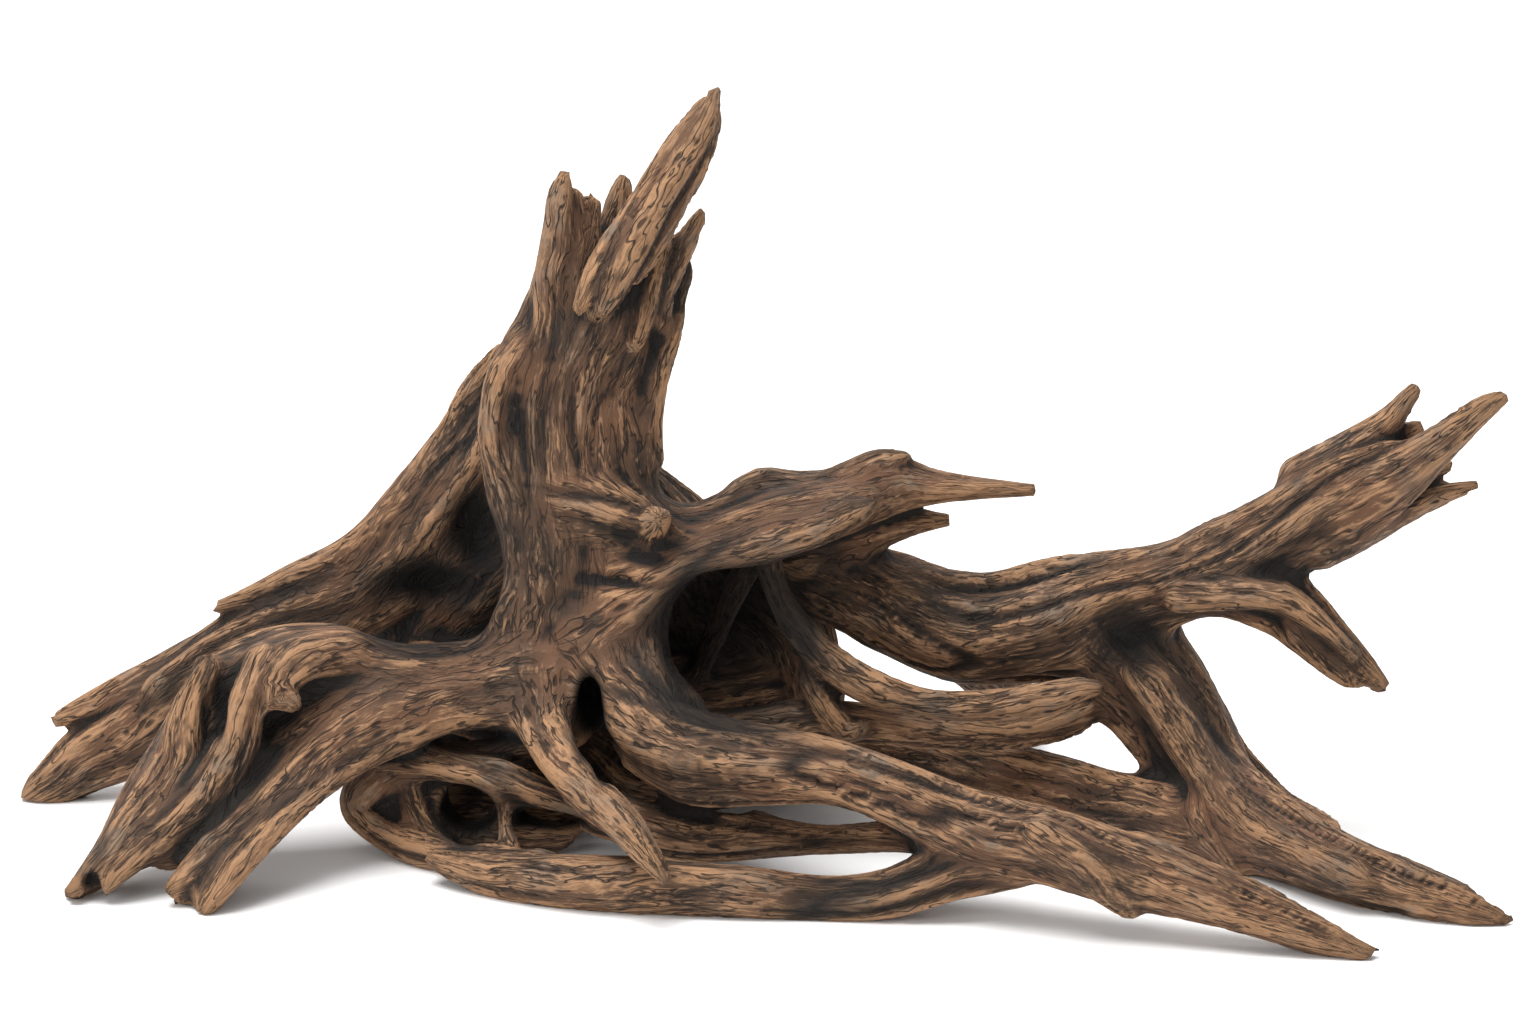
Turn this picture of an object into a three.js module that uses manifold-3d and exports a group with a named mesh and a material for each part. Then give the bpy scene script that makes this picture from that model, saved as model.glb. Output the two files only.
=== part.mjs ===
// A weathered driftwood root stump, built as the one piece of wood that it grew as.
//
// The wood is described by its limbs: each is a path of centre points with a radius, and the limbs melt
// into each other where they meet, as roots do. The hollows that rot and water opened are taken out of
// them. The shape is sampled on a lattice, meshed, thinned to few triangles and cut flat where it stands.
// Millimetres, +Z up, the ground at Z = 0, the front towards -Y, the origin under the middle of the piece.
import * as THREE from "three";
import { mergeVertices } from "three/addons/utils/BufferGeometryUtils.js";
import Module from "manifold-3d";

// The limbs: depth is how deep (Y) a limb is for its width, blend the width in which it melts into what it
// meets, path the rows of centre x, y, z and radius.
const LIMBS = {
  trunk: { depth: 0.72, blend: 9, path: [
    [-68, 12, 77, 30], [-71, 12, 111, 32], [-75, 14, 136, 33], [-78, 16, 160, 32], [-77, 18, 182, 30.5],
    [-69, 20, 202, 28.5], [-64, 21, 218, 24.5],
  ] },
  trunk_foot: { depth: 0.8, blend: 12, path: [
    [-72, 10, 116, 28], [-73, 6, 94, 29], [-79, 2, 74, 25], [-90, -4, 61, 17],
  ] },
  trunk_hip: { depth: 0.8, blend: 10, path: [
    [-59, 6, 113, 22.5], [-53, -2, 90, 19], [-49, -18, 70, 18.5],
  ] },
  trunk_bulge: { depth: 0.8, blend: 7, path: [
    [-73, 2, 137, 18.5], [-57, -4, 133, 15], [-43, -8, 127, 8.5],
  ] },
  knot: { depth: 1, blend: 4, path: [[-47, -10, 131, 7], [-44, -20, 136, 5.5], [-43, -25, 138, 3]] },
  trunk_lip: { depth: 1.2, blend: 12, path: [
    [-98, 8, 200, 3], [-105, 6, 190, 4.5], [-108, 4, 178, 4.5], [-109, 4, 163, 5], [-105, 4, 146, 5],
    [-101, 4, 126, 5.5], [-99, 2, 108, 6.5], [-103, -2, 92, 7],
  ] },
  spike_left: { depth: 0.7, blend: 6, path: [
    [-79, 12, 269, 1.5], [-81, 11, 260, 4], [-83, 9, 244, 5.5], [-86, 7, 227, 6], [-87, 6, 211, 5.5],
    [-89, 7, 195, 5], [-92, 12, 175, 3.5],
  ] },
  spike_left_edge: { depth: 0.8, blend: 5, path: [
    [-82, 14, 262, 1.5], [-83, 14, 251, 3], [-86, 14, 237, 4], [-89, 16, 223, 4.5], [-92, 18, 210, 4.5],
  ] },
  spike_slab: { depth: 0.8, blend: 5, path: [
    [-75, 16, 259, 2], [-75, 14, 247, 4.5], [-76, 11, 234, 5.5], [-77, 8, 217, 6], [-80, 2, 200, 3],
  ] },
  spike_mid: { depth: 0.9, blend: 5, path: [
    [-67, 20, 263, 1.5], [-69, 18, 252, 3.5], [-71, 14, 235, 5], [-74, 10, 218, 5],
  ] },
  spike_back: { depth: 0.9, blend: 5, path: [
    [-56, 30, 267, 2], [-59, 29, 256, 5], [-62, 28, 239, 7], [-65, 26, 219, 9.5],
  ] },
  spike_main: { depth: 0.8, blend: 4, path: [
    [-27, 12, 289, 4.5], [-34, 10, 275, 6.5], [-44, 8, 258, 8], [-53, 6, 243, 8.5], [-61, 2, 228, 8],
    [-67, 0, 215, 4.5],
  ] },
  spike_main_left: { depth: 0.8, blend: 3.5, path: [
    [-21, 10, 301, 1.5], [-27, 6, 293, 3], [-37, 3, 279, 4], [-47, 0, 263, 4.5], [-58, -4, 246, 4.5],
    [-67, -8, 230, 4.5], [-72, -10, 220, 3],
  ] },
  spike_main_mid: { depth: 0.8, blend: 3.5, path: [
    [-20, 9, 301, 2], [-24, 4, 291, 4.5], [-33, 0, 276, 5], [-42, -4, 261, 5.5], [-51, -8, 244, 5.5],
    [-60, -11, 227, 5], [-68, -13, 209, 2.5],
  ] },
  spike_main_right: { depth: 0.8, blend: 3.5, path: [
    [-19, 10, 294, 1.5], [-22, 8, 286, 3.5], [-28, 5, 272, 4.5], [-36, 2, 257, 4.5],
    [-44, -2, 242, 4.5], [-52, -5, 228, 2.5],
  ] },
  spike_stub: { depth: 1, blend: 3, path: [
    [-76, -8, 214, 2.5], [-72, -8, 222, 3], [-67, -6, 233, 3.5], [-61, -2, 243, 3.5],
  ] },
  spike_right: { depth: 0.8, blend: 5, path: [
    [-24, 20, 256, 1], [-28, 20, 248, 3], [-34, 18, 237, 5], [-40, 16, 224, 6], [-44, 12, 210, 5.5],
  ] },
  spike_edge: { depth: 0.8, blend: 5, path: [
    [-29, 24, 234, 1], [-32, 24, 225, 3], [-36, 22, 214, 4.5], [-40, 20, 202, 5],
  ] },
  spike_gap_slab: { depth: 0.8, blend: 5, path: [
    [-39, 16, 244, 2], [-43, 12, 233, 4], [-47, 7, 219, 5], [-52, 0, 202, 3],
  ] },
  knuckle: { depth: 1, blend: 7, path: [
    [-35, 16, 209, 2.5], [-38, 12, 200, 3], [-43, 8, 186, 3], [-46, 6, 170, 3.5], [-47, 10, 155, 5.5],
  ] },
  rear_limb: { depth: 0.75, blend: 7, path: [
    [-93, 30, 194, 4], [-112, 42, 163, 12], [-135, 54, 126, 16.5], [-167, 62, 88, 18.5],
    [-204, 62, 69, 17], [-235, 56, 50, 17], [-261, 48, 28, 17], [-283, 42, 17, 15], [-299, 38, 7, 10],
    [-305, 38, 3, 6.5],
  ] },
  rear_limb_top: { depth: 1, blend: 7, path: [
    [-108, 34, 193, 2], [-121, 40, 174, 4.5], [-131, 46, 156, 4.5], [-146, 52, 130, 5],
    [-170, 56, 105, 5.5], [-198, 56, 91, 5.5], [-224, 54, 81, 4], [-235, 53, 79, 2.5],
  ] },
  rear_limb_mid: { depth: 0.9, blend: 7, path: [
    [-108, 26, 166, 4], [-123, 36, 137, 6], [-143, 46, 110, 6.5], [-173, 52, 87, 6.5],
    [-203, 52, 75, 6], [-230, 48, 63, 6], [-252, 42, 47, 6],
  ] },
  rear_limb_toe: { depth: 1, blend: 4, path: [
    [-241, 54, 58, 6], [-268, 48, 45, 6], [-290, 42, 36, 4.5], [-298, 40, 33, 3],
  ] },
  rear_limb_low: { depth: 1, blend: 7, path: [
    [-112, 36, 138, 4], [-121, 44, 117, 5], [-138, 50, 93, 6], [-158, 54, 79, 6], [-178, 52, 69, 6],
    [-199, 48, 62, 7.5],
  ] },
  arm_upper: { depth: 0.9, blend: 12, path: [
    [-78, 4, 80, 20], [-116, -6, 65, 16], [-147, -14, 68, 17], [-178, -20, 75, 17.5],
    [-200, -26, 72, 17.5], [-216, -30, 65, 15], [-228, -34, 49, 12.5], [-239, -44, 32, 12],
    [-251, -58, 15, 9.5], [-261, -70, 7, 7], [-269, -76, 2, 4.5],
  ] },
  arm_lower: { depth: 0.9, blend: 12, path: [
    [-83, -8, 67, 16], [-119, -18, 62, 12.5], [-148, -28, 57, 12], [-171, -38, 47, 12],
    [-188, -48, 35, 11.5], [-203, -62, 23, 10.5], [-212, -76, 12, 8.5], [-216, -86, 5, 5],
  ] },
  arm_web: { depth: 0.9, blend: 10, path: [
    [-148, -24, 64, 12], [-173, -32, 56, 13.5], [-196, -42, 43, 12.5], [-216, -54, 26, 11],
    [-232, -66, 16, 8],
  ] },
  arm_ridge: { depth: 1, blend: 8, path: [
    [-198, -40, 84, 7], [-203, -50, 70, 8], [-208, -54, 53, 8], [-218, -60, 37, 7.5],
    [-234, -68, 24, 6.5], [-248, -78, 14, 6], [-256, -83, 6, 4], [-259, -86, 1, 2.5],
  ] },
  arm_knob: { depth: 1, blend: 8, path: [
    [-220, -38, 81, 6.5], [-227, -44, 65, 7.5], [-231, -50, 47, 7.5], [-241, -60, 32, 7],
    [-253, -74, 19, 6], [-263, -81, 9, 5], [-270, -83, 4, 3],
  ] },
  arm_hump: { depth: 1, blend: 8, path: [
    [-167, -24, 83, 6.5], [-184, -40, 84, 8.5], [-191, -48, 77, 7], [-185, -51, 71, 3.5],
  ] },
  arm_strand: { depth: 1, blend: 7, path: [
    [-130, -28, 65, 7], [-154, -38, 59, 8], [-174, -48, 51, 8], [-189, -59, 37, 8], [-204, -70, 24, 7],
    [-219, -79, 14, 5.5], [-229, -84, 8, 2.5],
  ] },
  arm_hem: { depth: 1, blend: 7, path: [
    [-99, -20, 56, 5.5], [-126, -30, 56, 6.5], [-149, -40, 51, 6.5], [-166, -50, 43, 6],
    [-182, -64, 34, 6], [-196, -78, 23, 5.5], [-206, -88, 13, 4], [-215, -93, 2, 2.5],
  ] },
  toe_split: { depth: 1, blend: 3, path: [[-214, -76, 20, 5.5], [-224, -83, 9, 4], [-229, -86, 6, 2]] },
  toe_under: { depth: 1, blend: 3, path: [[-219, -80, 9, 4.5], [-225, -83, 2, 3], [-229, -85, -3, 2]] },
  front_twig: { depth: 1, blend: 11, path: [
    [-91, -10, 69, 13.5], [-89, -28, 56, 11], [-80, -54, 47, 9.5], [-68, -74, 41, 8.5],
    [-56, -90, 36, 7.5], [-47, -102, 29, 6], [-40, -108, 22, 4], [-37, -111, 18, 2.5],
  ] },
  front_limb: { depth: 0.9, blend: 9, path: [
    [-68, 4, 80, 21], [-54, -20, 62, 23], [-31, -46, 51, 19.5], [-2, -62, 50, 16], [28, -74, 50, 13],
    [54, -85, 44, 14], [80, -96, 35, 16], [106, -105, 31, 15], [132, -113, 25, 13.5],
    [158, -121, 19, 10.5], [183, -128, 12, 8.5], [205, -133, 6, 6], [219, -137, 2, 3.5],
    [226, -139, 1, 2],
  ] },
  front_knob: { depth: 1, blend: 5, path: [
    [102, -112, 39, 8], [119, -118, 30, 7.5], [130, -118, 19, 6.5], [136, -118, 11, 4],
  ] },
  front_ridge: { depth: 1, blend: 4, path: [
    [140, -110, 32, 6], [162, -116, 25, 5.5], [184, -122, 18, 5], [202, -128, 10, 3.5],
    [211, -132, 6, 2],
  ] },
  base_limb: { depth: 0.9, blend: 7, path: [
    [-132, -60, 11, 2.5], [-123, -64, 9, 5.5], [-108, -70, 8, 8.5], [-80, -81, 9, 11.5],
    [-49, -89, 10, 12.5], [-13, -93, 9, 10], [20, -95, 7, 8.5], [45, -96, 10, 9.5], [67, -96, 18, 12],
    [90, -98, 25, 13],
  ] },
  loop_branch: { depth: 1, blend: 5, path: [
    [-2, 2, 119, 5.5], [3, -2, 103, 5], [13, -10, 87, 7], [27, -18, 75, 8], [43, -24, 67, 8],
    [64, -26, 62, 6], [88, -25, 61, 6], [108, -21, 62, 6], [123, -16, 65, 4.5], [132, -13, 65, 3],
  ] },
  under_loop: { depth: 1, blend: 7, path: [
    [-52, -6, 41, 9], [-21, -8, 46, 8], [7, -10, 50, 9.5], [33, -14, 51, 9], [55, -12, 48, 8],
    [79, -8, 44, 7.5], [103, -2, 43, 7], [123, 8, 46, 7.5],
  ] },
  under_knee: { depth: 1, blend: 4, path: [
    [16, -14, 72, 5], [22, -18, 61, 6], [32, -22, 50, 5], [40, -26, 55, 3],
  ] },
  crest: { depth: 1, blend: 9, path: [
    [-51, 8, 121, 17], [-27, 10, 122, 13.5], [-1, 14, 131, 13], [27, 18, 133, 13.5], [48, 22, 140, 12],
    [67, 24, 139, 7], [88, 24, 138, 3.5], [108, 24, 137, 1.5],
  ] },
  crest_roof: { depth: 0.9, blend: 9, path: [
    [-51, -4, 109, 16.5], [-25, -6, 119, 13.5], [-1, -6, 129, 12], [23, 0, 134, 9], [39, 6, 138, 4],
  ] },
  crest_bump: { depth: 1, blend: 6, path: [
    [-10, 14, 139, 5], [-2, 16, 143, 4.5], [10, 18, 141, 3.5], [18, 18, 138, 2.5],
  ] },
  crest_peak: { depth: 1, blend: 6, path: [
    [31, 18, 144, 5.5], [43, 20, 150, 6], [52, 21, 152, 4.5], [59, 22, 153, 2],
  ] },
  crest_blade: { depth: 1.4, blend: 6, path: [
    [45, 18, 134, 5.5], [65, 22, 136, 4], [86, 24, 137, 3], [107, 24, 137, 1.5],
  ] },
  crest_lip: { depth: 1.1, blend: 10, path: [
    [-67, -8, 88, 14.5], [-47, -16, 104, 11], [-25, -20, 117, 8], [-2, -20, 125, 6.5],
    [19, -16, 131, 6], [35, -10, 137, 4], [41, -8, 140, 2],
  ] },
  crest_under: { depth: 1, blend: 6, path: [
    [17, 28, 113, 10.5], [41, 30, 119, 10.5], [60, 30, 122, 5.5], [76, 30, 123, 2],
  ] },
  window_strand: { depth: 1, blend: 5, path: [
    [-6, 10, 113, 5.5], [-15, 20, 92, 6], [-22, 26, 75, 5.5], [-28, 28, 59, 3.5],
  ] },
  right_limb: { depth: 0.8, blend: 10, path: [
    [1, 32, 105, 18], [30, 36, 94, 18], [54, 34, 83, 20], [75, 30, 76, 23], [95, 26, 77, 22],
    [118, 20, 83, 23], [142, 14, 95, 19.5], [166, 8, 105, 17], [187, 4, 115, 18.5], [208, 0, 129, 17],
    [227, 0, 142, 16], [245, 2, 151, 12.5],
  ] },
  fork_spike_a: { depth: 0.8, blend: 4, path: [
    [212, 4, 147, 9], [231, 6, 158, 8.5], [246, 8, 169, 7], [254, 9, 179, 4.5], [260, 10, 186, 1.5],
  ] },
  fork_spike_b: { depth: 0.8, blend: 4, path: [
    [227, -4, 136, 13.5], [247, -4, 149, 11.5], [266, -2, 163, 8.5], [279, 0, 174, 5.5],
    [289, 2, 180, 2.5],
  ] },
  fork_spike_c: { depth: 1, blend: 4, path: [
    [220, 0, 121, 10.5], [248, 4, 132, 6], [269, 8, 139, 5], [285, 10, 143, 3], [294, 11, 145, 1.5],
  ] },
  fork_nub: { depth: 1, blend: 3, path: [[245, 14, 156, 8], [257, 14, 164, 5], [262, 14, 167, 2]] },
  fork_nub_b: { depth: 1, blend: 3, path: [[253, 12, 148, 8], [269, 14, 149, 5], [278, 15, 150, 1.5]] },
  fork_lower: { depth: 0.8, blend: 8, path: [
    [183, 4, 109, 16], [205, -4, 98, 13], [222, -12, 86, 10], [236, -17, 75, 7], [249, -21, 64, 2.5],
  ] },
  fork_lower_b: { depth: 0.9, blend: 7, path: [[210, -14, 88, 5], [224, -18, 75, 4], [232, -21, 68, 2]] },
  fork_strand: { depth: 1, blend: 7, path: [
    [164, -6, 100, 6.5], [183, -12, 103, 6.5], [203, -16, 103, 6], [218, -22, 94, 4.5],
    [231, -24, 83, 3],
  ] },
  leg: { depth: 0.8, blend: 13, path: [
    [131, 18, 83, 19.5], [151, 16, 63, 22], [168, 8, 41, 20.5], [180, -10, 23, 18.5],
    [195, -44, 15, 16.5], [221, -76, 13, 12.5], [242, -90, 10, 10.5], [263, -100, 7, 7],
    [281, -105, 2, 2.5],
  ] },
  leg_back: { depth: 1, blend: 7, path: [
    [165, 28, 76, 5], [172, 30, 57, 6], [182, 28, 43, 6], [191, 20, 26, 6], [205, -2, 16, 5.5],
    [222, -40, 13, 5.5],
  ] },
  leg_strand: { depth: 1, blend: 7, path: [
    [138, 0, 81, 7], [154, -4, 61, 8], [169, -18, 41, 8], [184, -46, 25, 7], [202, -72, 20, 6],
    [223, -90, 15, 4.5],
  ] },
  leg_toe: { depth: 1, blend: 3, path: [[241, -82, 15, 5], [260, -92, 12, 3.5], [270, -96, 10, 2]] },
  leg_toe_b: { depth: 1, blend: 3, path: [[249, -96, 6, 5.5], [265, -103, 2, 3], [273, -105, -1, 1.5]] },
  leg_heel: { depth: 1, blend: 6, path: [[178, -34, 17, 12], [183, -44, 7, 7], [186, -50, 2, 3]] },
  low_limb: { depth: 0.85, blend: 8, path: [
    [-32, 40, 23, 12.5], [9, 36, 21, 13.5], [50, 28, 20, 14], [85, 16, 17, 16.5], [113, 6, 14, 16.5],
    [135, -2, 10, 15.5], [152, -12, 11, 14.5], [178, -28, 10, 14],
  ] },
  back_twig: { depth: 1, blend: 6, path: [
    [-75, -30, 22, 9.5], [-51, -38, 17, 11], [-27, -46, 15, 10], [-3, -54, 17, 8], [24, -64, 20, 6],
    [51, -76, 25, 6], [68, -86, 25, 7],
  ] },
  back_twig_nub: { depth: 1, blend: 4, path: [[5, -52, 16, 4.5], [-2, -50, 21, 4], [-5, -49, 23, 2.5]] },
  swirl: { depth: 1, blend: 8, path: [
    [-83, -18, 51, 9.5], [-115, -18, 40, 6.5], [-139, -20, 37, 7], [-157, -22, 27, 10.5],
    [-162, -26, 18, 8], [-150, -32, 9, 7], [-133, -42, 7, 6.5], [-113, -56, 9, 6.5], [-89, -68, 12, 7],
  ] },
  swirl_rib: { depth: 1, blend: 8, path: [
    [-149, -24, 37, 6.5], [-126, -30, 37, 6.5], [-104, -34, 33, 7], [-84, -36, 26, 6.5],
    [-65, -36, 20, 6],
  ] },
  swirl_left: { depth: 1, blend: 8, path: [[-146, -22, 31, 8], [-142, -26, 20, 8], [-134, -34, 8, 7]] },
  swirl_strut: { depth: 1, blend: 8, path: [
    [-106, -34, 31, 4], [-104, -38, 19, 3], [-101, -50, 11, 4.5],
  ] },
  swirl_plate: { depth: 0.5, blend: 6, path: [
    [-147, -20, 18, 12], [-120, -24, 15, 17], [-96, -28, 13, 13.5], [-83, -30, 11, 9],
  ] },
  rear_wall: { depth: 0.7, blend: 10, path: [
    [-62, 34, 130, 22], [-36, 52, 96, 27], [-6, 60, 72, 27], [8, 64, 40, 24],
  ] },
  rear_floor: { depth: 0.9, blend: 6, path: [[-152, 40, 10, 12], [-118, 34, 8, 14], [-84, 30, 6, 13]] },
  eye_back: { depth: 1, blend: 6, path: [
    [-150, 8, 12, 15], [-118, 9, 13, 17], [-96, 8, 11, 16], [-80, 8, 9, 12],
  ] },
  rear_step: { depth: 1, blend: 6, path: [
    [-67, 16, 27, 9], [-54, 14, 18, 13], [-34, 14, 15, 13], [-14, 18, 15, 11], [8, 24, 18, 9],
  ] },
  rear_wall_b: { depth: 0.7, blend: 10, path: [
    [-82, 36, 128, 24], [-112, 62, 98, 26], [-142, 68, 66, 24], [-132, 68, 34, 20],
  ] },
  rear_sill: { depth: 0.8, blend: 10, path: [
    [-140, 46, 48, 20], [-95, 28, 44, 22], [-50, 32, 42, 22], [-14, 48, 42, 20],
  ] },
  root_back: { depth: 1, blend: 10, path: [
    [-50, 42, 95, 26], [-42, 82, 62, 24], [-34, 112, 32, 18], [-26, 134, 11, 12], [-20, 150, 3, 6],
  ] },
  root_left: { depth: 1, blend: 10, path: [
    [-112, 60, 92, 24], [-140, 92, 58, 19], [-165, 116, 26, 14], [-182, 132, 8, 9], [-192, 140, 3, 5],
  ] },
  root_right: { depth: 1, blend: 8, path: [
    [56, 40, 84, 20], [84, 72, 58, 17], [100, 98, 30, 14], [108, 116, 8, 10], [112, 124, 3, 6],
  ] },
};

// The hollows, as ellipsoids taken out of the wood.
const HOLLOWS = {
  window: { blend: 6, balls: [
    { at: [-12, -34, 91], radii: [31, 60, 27] }, { at: [-11, 8, 79], radii: [30, 34, 27] },
  ] },
  pocket: { blend: 5, balls: [
    { at: [-120, 10, 110], radii: [14, 36, 25] }, { at: [-140, 14, 91], radii: [28, 38, 13] },
  ] },
  cleft: { blend: 4, balls: [
    { at: [-70, -36, 62], radii: [6, 36, 14] }, { at: [-64, -42, 45], radii: [5, 30, 11] },
  ] },
  slot: { blend: 4, balls: [{ at: [-115, -34, 49], radii: [17, 26, 5] }] },
  eye: { blend: 3, balls: [{ at: [-119, -34, 20], radii: [11, 27, 11] }] },
  slit: { blend: 3, balls: [{ at: [-88, -36, 17], radii: [12, 26, 4] }] },
  crease: { blend: 3, balls: [
    { at: [-37, -32, 125], radii: [10, 12, 3] }, { at: [-50, -30, 120], radii: [10, 14, 3] },
    { at: [-64, -26, 111], radii: [10, 9, 2] },
  ] },
  arm_hole: { blend: 3, balls: [
    { at: [-213, -52, 66], radii: [3, 13, 7] }, { at: [-190, -54, 64], radii: [5, 12, 3] },
  ] },
  toe_hole: { blend: 2, balls: [{ at: [-260, -88, 8], radii: [3, 8, 5] }] },
  armpit: { blend: 8, balls: [{ at: [145, -20, 81], radii: [17, 24, 13] }] },
};

// Sampling and finish
const CELL = 3; // lattice step
const LATTICE_LOW = [-318, -162, -10.4];
const LATTICE_HIGH = [318, 178, 314];
const TRIANGLES = 11000; // what the thinned surface keeps
const PATH_STEP = 5; // length of one straight stretch of a limb's path
const FAR = 40; // field value where there is no wood near
const LEAST_RADIUS = 1.5;
const LEAST_SHARE = 0.1; // keeps the surface off the lattice points, so no triangle is without area
const RELAX_STEPS = [0.5, -0.52]; // how far a vertex moves to its neighbours, and then back
const RELAX_ROUNDS = 4;
const LEAST_FULLNESS = 0.1; // thinning makes no triangle slimmer than this
const SLIVER = 0.02; // a triangle slimmer than this may turn any way
const TRIES = 4; // how often an edge that can't be joined yet is tried again
const GROUND_SNAP = 0.05;
const MIDDLE = [-9.5, 7.5]; // where the paths have the middle of the piece; it ends up at the origin

// Relief of the weathered surface
const FLUTE_SHARE = 0.1; // depth of the long ridges, as a share of the limb's radius
const FLUTE_PITCH = 0.018; // how fast the ridges wind round the limb, radians per mm
const LUMP_DEPTH = 1;
const LUMP_LENGTH = 17;

const WOOD_COLOUR = 0x5d4636;

// The middle corners of the six tetrahedra of a lattice cube, as bit masks of x, y and z.
const TETRAHEDRA = [[1, 3], [1, 5], [2, 3], [2, 6], [4, 5], [4, 6]];

// The limbs that run through a hollow, joined after it is cut.
const CROSSING = ["loop_branch", "window_strand"];

// A limb as straight stretches, in a space where its flattened section is round.
function limbOf({ depth, blend, path }, index) {
  const curve = (points) => new THREE.CatmullRomCurve3(points, false, "catmullrom", 0.5);
  const centre = curve(path.map(([x, y, z]) => new THREE.Vector3(x, y / depth, z)));
  const girth = curve(path.map(([, , , r]) => new THREE.Vector3(r, 0, 0)));
  const stretches = Math.max(path.length - 1, Math.ceil(centre.getLength() / PATH_STEP));
  const side = new THREE.Vector3(0.3, 1, 0.2);
  const points = [];
  for (let i = 0; i <= stretches; i++) {
    const at = centre.getPoint(i / stretches);
    const tangent = centre.getTangent(i / stretches);
    side.addScaledVector(tangent, -side.dot(tangent)).normalize();
    points.push({
      at,
      side: side.clone(),
      other: new THREE.Vector3().crossVectors(tangent, side),
      r: Math.max(LEAST_RADIUS, girth.getPoint(i / stretches).x),
      along: i === 0 ? 0 : points[i - 1].along + at.distanceTo(points[i - 1].at),
    });
  }
  return { points, depth, blend, phase: index * 2.4 };
}

// The long ridges round a limb, from -1 to 1.
function flutes(angle, along, phase) {
  const wind = along * FLUTE_PITCH + phase;
  return (
    0.42 * Math.sin(3 * angle + wind) +
    0.33 * Math.sin(5 * angle - 1.6 * wind) +
    0.25 * Math.sin(8 * angle + 2.3 * wind)
  );
}

// How far a point lies outside a limb, less than 0 inside it.
function limbDistance({ points, depth, phase }, x, y, z) {
  const nearest = { distance: Infinity, a: points[0], b: points[1], share: 0 };
  for (let i = 0; i + 1 < points.length; i++) {
    const a = points[i];
    const b = points[i + 1];
    const [ax, ay, az] = [x - a.at.x, y / depth - a.at.y, z - a.at.z];
    const [bx, by, bz] = [b.at.x - a.at.x, b.at.y - a.at.y, b.at.z - a.at.z];
    const share = Math.min(1, Math.max(0, (ax * bx + ay * by + az * bz) / (bx * bx + by * by + bz * bz)));
    const [qx, qy, qz] = [ax - share * bx, ay - share * by, az - share * bz];
    const distance = Math.sqrt(qx * qx + qy * qy + qz * qz) - a.r - share * (b.r - a.r);
    if (distance < nearest.distance) Object.assign(nearest, { distance, a, b, share, qx, qy, qz });
  }
  const { a, b, share, qx, qy, qz } = nearest;
  const angle = Math.atan2(
    qx * a.other.x + qy * a.other.y + qz * a.other.z,
    qx * a.side.x + qy * a.side.y + qz * a.side.z,
  );
  const r = a.r + share * (b.r - a.r);
  return nearest.distance - FLUTE_SHARE * r * flutes(angle, a.along + share * (b.along - a.along), phase);
}

// The lesser of two distances, rounded off over a width where they meet.
function softMin(a, b, width) {
  const h = Math.max(0, width - Math.abs(a - b)) / width;
  return Math.min(a, b) - (h * h * width) / 4;
}

function lumps(x, y, z) {
  const [u, v, w] = [x / LUMP_LENGTH, y / LUMP_LENGTH, z / LUMP_LENGTH];
  return Math.sin(u + 1.3 * Math.sin(v)) * Math.sin(v + 1.7 * Math.sin(w)) + 0.5 * Math.sin(w + u / 2);
}

// The field on the lattice, less than 0 in the wood.
function sampleField() {
  const size = LATTICE_LOW.map((low, axis) => Math.ceil((LATTICE_HIGH[axis] - low) / CELL) + 1);
  const field = new Float32Array(size[0] * size[1] * size[2]).fill(FAR);
  const forBox = (low, high, visit) => {
    const from = low.map((v, axis) => Math.max(1, Math.floor((v - LATTICE_LOW[axis]) / CELL)));
    const to = high.map((v, axis) => Math.min(size[axis] - 2, Math.ceil((v - LATTICE_LOW[axis]) / CELL)));
    for (let k = from[2]; k <= to[2]; k++)
      for (let j = from[1]; j <= to[1]; j++)
        for (let i = from[0]; i <= to[0]; i++) {
          const n = (k * size[1] + j) * size[0] + i;
          visit(n, LATTICE_LOW[0] + i * CELL, LATTICE_LOW[1] + j * CELL, LATTICE_LOW[2] + k * CELL);
        }
  };
  const joinLimb = (limb) => {
    const low = [Infinity, Infinity, Infinity];
    const high = [-Infinity, -Infinity, -Infinity];
    for (const { at, r } of limb.points)
      [at.x, at.y * limb.depth, at.z].forEach((v, axis) => {
        low[axis] = Math.min(low[axis], v - (1 + FLUTE_SHARE) * r - limb.blend - CELL);
        high[axis] = Math.max(high[axis], v + (1 + FLUTE_SHARE) * r + limb.blend + CELL);
      });
    forBox(low, high, (n, x, y, z) => {
      field[n] = softMin(field[n], limbDistance(limb, x, y, z), limb.blend);
    });
  };
  const limbs = Object.entries(LIMBS).map(([name, description], index) => ({
    ...limbOf(description, index),
    crossing: CROSSING.includes(name),
  }));
  limbs.filter((limb) => !limb.crossing).forEach(joinLimb);
  for (const { blend, balls } of Object.values(HOLLOWS))
    for (const { at, radii } of balls) {
      const low = at.map((v, axis) => v - radii[axis] - 2 * blend);
      const high = at.map((v, axis) => v + radii[axis] + 2 * blend);
      forBox(low, high, (n, x, y, z) => {
        const share = Math.hypot((x - at[0]) / radii[0], (y - at[1]) / radii[1], (z - at[2]) / radii[2]);
        field[n] = -softMin(-field[n], (share - 1) * Math.min(...radii), blend);
      });
    }
  limbs.filter((limb) => limb.crossing).forEach(joinLimb);
  forBox(LATTICE_LOW, LATTICE_HIGH, (n, x, y, z) => {
    if (field[n] < FAR / 2) field[n] -= LUMP_DEPTH * lumps(x, y, z);
  });
  return { field, size };
}
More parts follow.
